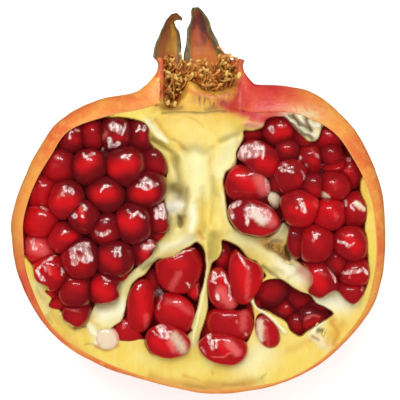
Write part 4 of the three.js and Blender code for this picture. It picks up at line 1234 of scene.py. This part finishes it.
CREAM = (                     # the seed itself, close under the skin
    (0.55, 1.0, 321, 194, 326, 197), (0.6, 0.85, 354, 203, 362, 209), (1.5, 0.65, 175, 336, 183, 348),
    (1.1, 0.75, 260, 322, 260, 338), (2.8, 1.0, 103, 333, 108, 341), (0.7, 0.5, 258, 222, 264, 225),
    (1.2, 0.8, 254, 212, 261, 221), (1.6, 1.0, 268, 196, 275, 201),
)
PAINTED_SHADE_MARKS = (                      # painted shade: the dark far side of a sac
    (0.7, 1.0, 238, 203, 252, 205), (0.9, 0.9, 232, 222, 240, 229), (0.8, 0.7, 240, 161, 251, 166),
    (1.6, 0.9, 197, 254, 190, 284), (1.2, 0.7, 160, 320, 175, 322), (0.7, 0.9, 149, 335, 148, 346),
    (0.7, 1.0, 213, 285, 214, 292), (1.8, 1.0, 211, 318, 217, 332), (0.9, 0.9, 202, 338, 202, 349),
    (2.2, 0.9, 152, 160, 156, 150), (1.6, 0.8, 148, 173, 152, 172), (1.2, 0.8, 100, 176, 100, 168),
    (2.0, 1.0, 295, 234, 294, 248), (1.2, 0.9, 350, 223, 356, 222), (1.3, 0.9, 275, 172, 276, 186),
    (1.2, 0.8, 112, 206, 100, 205),
)


def outline_reach(outline, centre, headings):
    """How far the outline is from a point inside it, along each heading."""
    line = np.array(outline, float) - centre[:2]
    after = np.roll(line, -1, 0)
    reach = np.full(len(headings), 99.0)
    for (ax, ay), (bx, by) in zip(line, after):
        ex, ey = bx - ax, by - ay
        cross = np.cos(headings) * ey - np.sin(headings) * ex
        cross = np.where(np.abs(cross) < 1e-9, 1e-9, cross)
        away = (ax * ey - ay * ex) / cross
        along = (ax * np.sin(headings) - ay * np.cos(headings)) / cross
        hit = (away > 0) & (along >= 0) & (along <= 1)
        reach = np.where(hit, np.minimum(reach, away), reach)
    return reach


def holds(outline, centre):
    """Whether the outline goes round the point."""
    line = np.array(outline, float) - centre[:2]
    turn = np.diff(np.unwrap(np.arctan2(*np.vstack([line, line[:1]]).T[::-1])))
    return abs(turn.sum()) > math.pi


maker = bmesh.new()
bmesh.ops.create_icosphere(maker, subdivisions=SAC_FINENESS, radius=1.0)
ball_ways = np.array([v.co for v in maker.verts])
ball_faces = [[v.index for v in f.verts] for f in maker.faces]
maker.free()
ball_ways /= np.linalg.norm(ball_ways, axis=1)[:, None]
ball_heading = np.arctan2(ball_ways[:, 1], ball_ways[:, 0])
ball_level = np.hypot(ball_ways[:, 0], ball_ways[:, 1])
compass = np.linspace(-math.pi, math.pi, 241)
SECTORS = 36
sector = ((ball_heading / math.pi + 1) * SECTORS / 2).astype(int) % SECTORS
sector_heading = (np.arange(SECTORS) + 0.5) * 2 * math.pi / SECTORS - math.pi

sacs = []                     # name, node, middle, half sizes
for node in sorted(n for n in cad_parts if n.startswith("aril_")):
    corners = np.array([v.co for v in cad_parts[node].data.vertices]) / MM
    sacs.append((node.replace("aril", "sac"), node, (corners.min(0) + corners.max(0)) / 2,
                 (corners.max(0) - corners.min(0)) / 2))

# Sacs that show only between the others and the pith: middle's steps, top, half sizes x, y, z
PARTLY_HIDDEN = (
    (251, 133, 3.0, 2.2, 1.6, 2.6), (287, 151, 5.0, 2.6, 2.2, 3.0), (295, 241, 4.6, 2.2, 3.4, 3.0),
    (57, 303, 2.2, 2.4, 1.5, 2.4), (300, 299, -3.4, 3.2, 2.2, 2.6), (297, 325, -2.6, 1.9, 2.0, 2.4),
    (194, 290, 1.2, 1.2, 2.0, 2.0), (254, 309, 0.0, 1.3, 1.8, 2.0), (320, 307, -3.6, 2.4, 1.6, 2.0),
    (160, 234, 3.0, 1.7, 2.4, 2.6), (330, 155, 5.2, 2.2, 2.0, 3.0), (305, 136, 4.6, 2.2, 2.4, 2.6),
    (272, 198, 3.4, 1.8, 2.0, 2.6), (336, 262, 4.4, 2.2, 2.4, 2.6), (312, 186, 6.2, 2.2, 2.4, 3.0),
    (223, 257, 0.6, 1.4, 2.4, 2.6), (152, 282, -0.6, 1.2, 2.0, 2.0), (208, 330, -1.4, 1.6, 2.6, 2.2),
    (124, 276, 3.2, 2.2, 1.8, 2.6), (276, 181, 4.0, 1.6, 2.8, 2.8), (50, 292, 2.6, 1.5, 1.7, 2.2),
)
for index, row in enumerate(PARTLY_HIDDEN):
    x, y, top, *half = spot(*row)
    sacs.append((f"hidden_sac_{index + 1:02d}", None, np.array([x, y, WIDEST + top - half[2]]),
                 np.array(half)))

chamber_loops = [loop(spots(row[0]), 3 * len(row[0]) // 2) for row in CHAMBERS]
middles = np.array([sac[2] for sac in sacs])
halves = np.array([sac[3] for sac in sacs])

MARKS = {"painted_glow": PAINTED_GLOW_MARKS, "pink": PINK_AND_PAINTED_HIGHLIGHTS, "painted_glint": PAINTED_GLINTS, "cream": CREAM, "painted_shade": PAINTED_SHADE_MARKS}
marks_of = [[] for sac in sacs]
for kind, table in MARKS.items():
    for half_width, strength, *steps in table:
        line = spots(steps)
        at = np.mean(line, axis=0)
        off = np.hypot(*((middles[:, :2] - at) / halves[:, :2]).T)
        marks_of[int(np.argmin(off))].append((kind, line, half_width, strength))

sac_paint = Paint("aril_flesh")
juice = sac_paint.noise(5, 2).between(0.35, 0.65)
colour = juice.mix(tint(104, 8, 14), tint(134, 10, 18))
# Painted shade darkens each sac's rim and underside and its dark far side; painted red light brightens
# the juice low in it.
colour = sac_paint.mask("rim").mix(colour, tint(48, 7, 11))
colour = sac_paint.mask("painted_shade").mix(colour, tint(44, 8, 12))
colour = sac_paint.mask("painted_glow").mix(colour, tint(196, 14, 20))
fleck = sac_paint.noise(0.55, 3, (1, 1, 1), 0.6)
# Pink: the thin skin over the seed's flesh, and painted pink highlight arcs.
pink = (sac_paint.mask("pink") + (fleck - 0.5) * 0.35).between(0.2, 1.0)
colour = (pink * 0.85).mix(colour, tint(236, 112, 108))
cream = (sac_paint.mask("cream") + (fleck - 0.5) * 0.35).between(0.2, 0.85)
colour = (cream * 0.95).mix(colour, tint(244, 226, 194))
# Painted highlights: near-white glints, broken up by cracks.
glint = (sac_paint.mask("painted_glint") * (fleck + 0.5)).between(0.2, 0.85)
cracks = sac_paint.noise(0.7, 3, (1, 2.4, 1), 0.6).between(0.56, 0.44)
colour = (glint * (1 - cracks * 0.7)).mix(colour, tint(246, 222, 216))
skin_of_sac = sac_paint.bump(sac_paint.noise(1.0, 2), 0.12)
# Painted light: the sacs glow faintly all over, more strongly where the glow mask lies, and paler over
# the seeds.
painted_glow_emission = sac_paint.mask("painted_glow").mix(tint(64, 11, 14, 1.0), tint(118, 8, 12, 1.0))
painted_glow_emission = cream.mix(painted_glow_emission, tint(70, 58, 44, 1.0))
sac_material = sac_paint.finish(Base_Color=colour, Roughness=0.3, Specular_IOR_Level=0.1,
                                Subsurface_Weight=0.5, Subsurface_Radius=(1.0, 0.12, 0.1),
                                Subsurface_Scale=1.2 * MM,
                                Coat_Weight=0.8, Coat_Roughness=0.05, Coat_IOR=1.4,
                                Normal=skin_of_sac, Emission_Color=painted_glow_emission,
                                Emission_Strength=1.0)

for index, (name, node, centre, half) in enumerate(sacs):
    tight = SAC_ROUNDING[0] + (SAC_ROUNDING[1] - SAC_ROUNDING[0]) * (index * 0.618 % 1)
    powers = np.linalg.norm(ball_ways / (half * SAC_FIT), axis=1) ** tight
    if node in SAC_OUTLINES:
        walls = [loop(spots(SAC_OUTLINES[node]), 60)]
    else:
        walls = [w for w in chamber_loops if holds(w, centre)]
        by_distance = np.argsort(np.linalg.norm(middles - centre, axis=1))
        for other in by_distance[1:NEIGHBOURS + 1]:
            way = middles[other] - centre
            apart = np.linalg.norm(way)
            way /= apart
            mine, theirs = (1 / np.linalg.norm(way / h) for h in (half, halves[other]))
            limit = apart * mine / (mine + theirs) + SAC_GAP
            powers += (np.maximum(ball_ways @ way, 0) / limit) ** tight
    for wall in walls:
        reach = np.maximum(outline_reach(wall, centre, compass) - WALL_GAP, 0.4)
        wide = np.interp(ball_heading, compass, reach)
        powers += (ball_level / wide) ** tight
    radii = powers ** (-1 / tight)
    radii *= 1 + 0.03 * rumple(ball_ways * 1.7, 1.0, index * 1.37 + 0.5)
    points = centre + ball_ways * radii[:, None]
    masks = {kind: np.zeros(len(points)) for kind in MARKS}
    out = np.hypot(*(points - centre)[:, :2].T)
    widest_out = np.zeros(SECTORS)
    np.maximum.at(widest_out, sector, out)
    reach_out = np.interp(ball_heading, sector_heading, widest_out, period=2 * math.pi)
    painted_glow_amount, rim_shade_strength = next(row[1:] for row in CHAMBER_PAINTED_LIGHT if row[0] in name)
    # Painted light and painted shade from the pools: light raises the glow mask, loss raises the dark
    # mask.
    painted_pool = sum(amount * near(points, *place) for *place, amount in PAINTED_LIGHT_POOLS)
    masks["painted_glow"] += painted_glow_amount + np.clip(painted_pool, 0, 1)
    masks["painted_shade"] += np.clip(-painted_pool, 0, 1)
    # Painted shade: each sac darkens towards its rim as seen from above, and is fully dark on its
    # underside.
    painted_rim_shade = rim_shade_strength * (0.55 + 0.45 * math.sin(index * 2.4) ** 2)
    painted_rim_shade = painted_rim_shade * (1 - np.clip(1.3 * painted_pool, 0, 0.8))
    masks["rim"] = np.where(ball_ways[:, 2] < 0, 1, painted_rim_shade * smooth(0.25, 0.9, out / reach_out))
    # A sac with no glow mark gets a faint painted glow low in its middle.
    if not any(mark[0] == "painted_glow" for mark in marks_of[index]):
        low_middle = (ball_ways[:, 0] - 0.1) ** 2 + (ball_ways[:, 1] + 0.3) ** 2
        masks["painted_glow"] += 0.3 * np.exp(-low_middle / 0.2)
    waver = [0.35 * rumple(points, 0.9, k) for k in (21, 22)]
    for kind, line, half_width, strength in marks_of[index]:
        away = to_line(line, points[:, 0] + waver[0], points[:, 1] + waver[1])
        if kind == "painted_glint":
            value = strength * np.clip(1.5 - away / half_width, 0, 1)
        else:
            value = strength * np.exp(-(away / half_width) ** 2 * 0.8)
        masks[kind] = np.maximum(masks[kind], value * smooth(-0.2, 0.15, ball_ways[:, 2]))
    made = shape(name, points, ball_faces, sac_material, masks)
    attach(made, "root")
    if node:
        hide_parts(node)
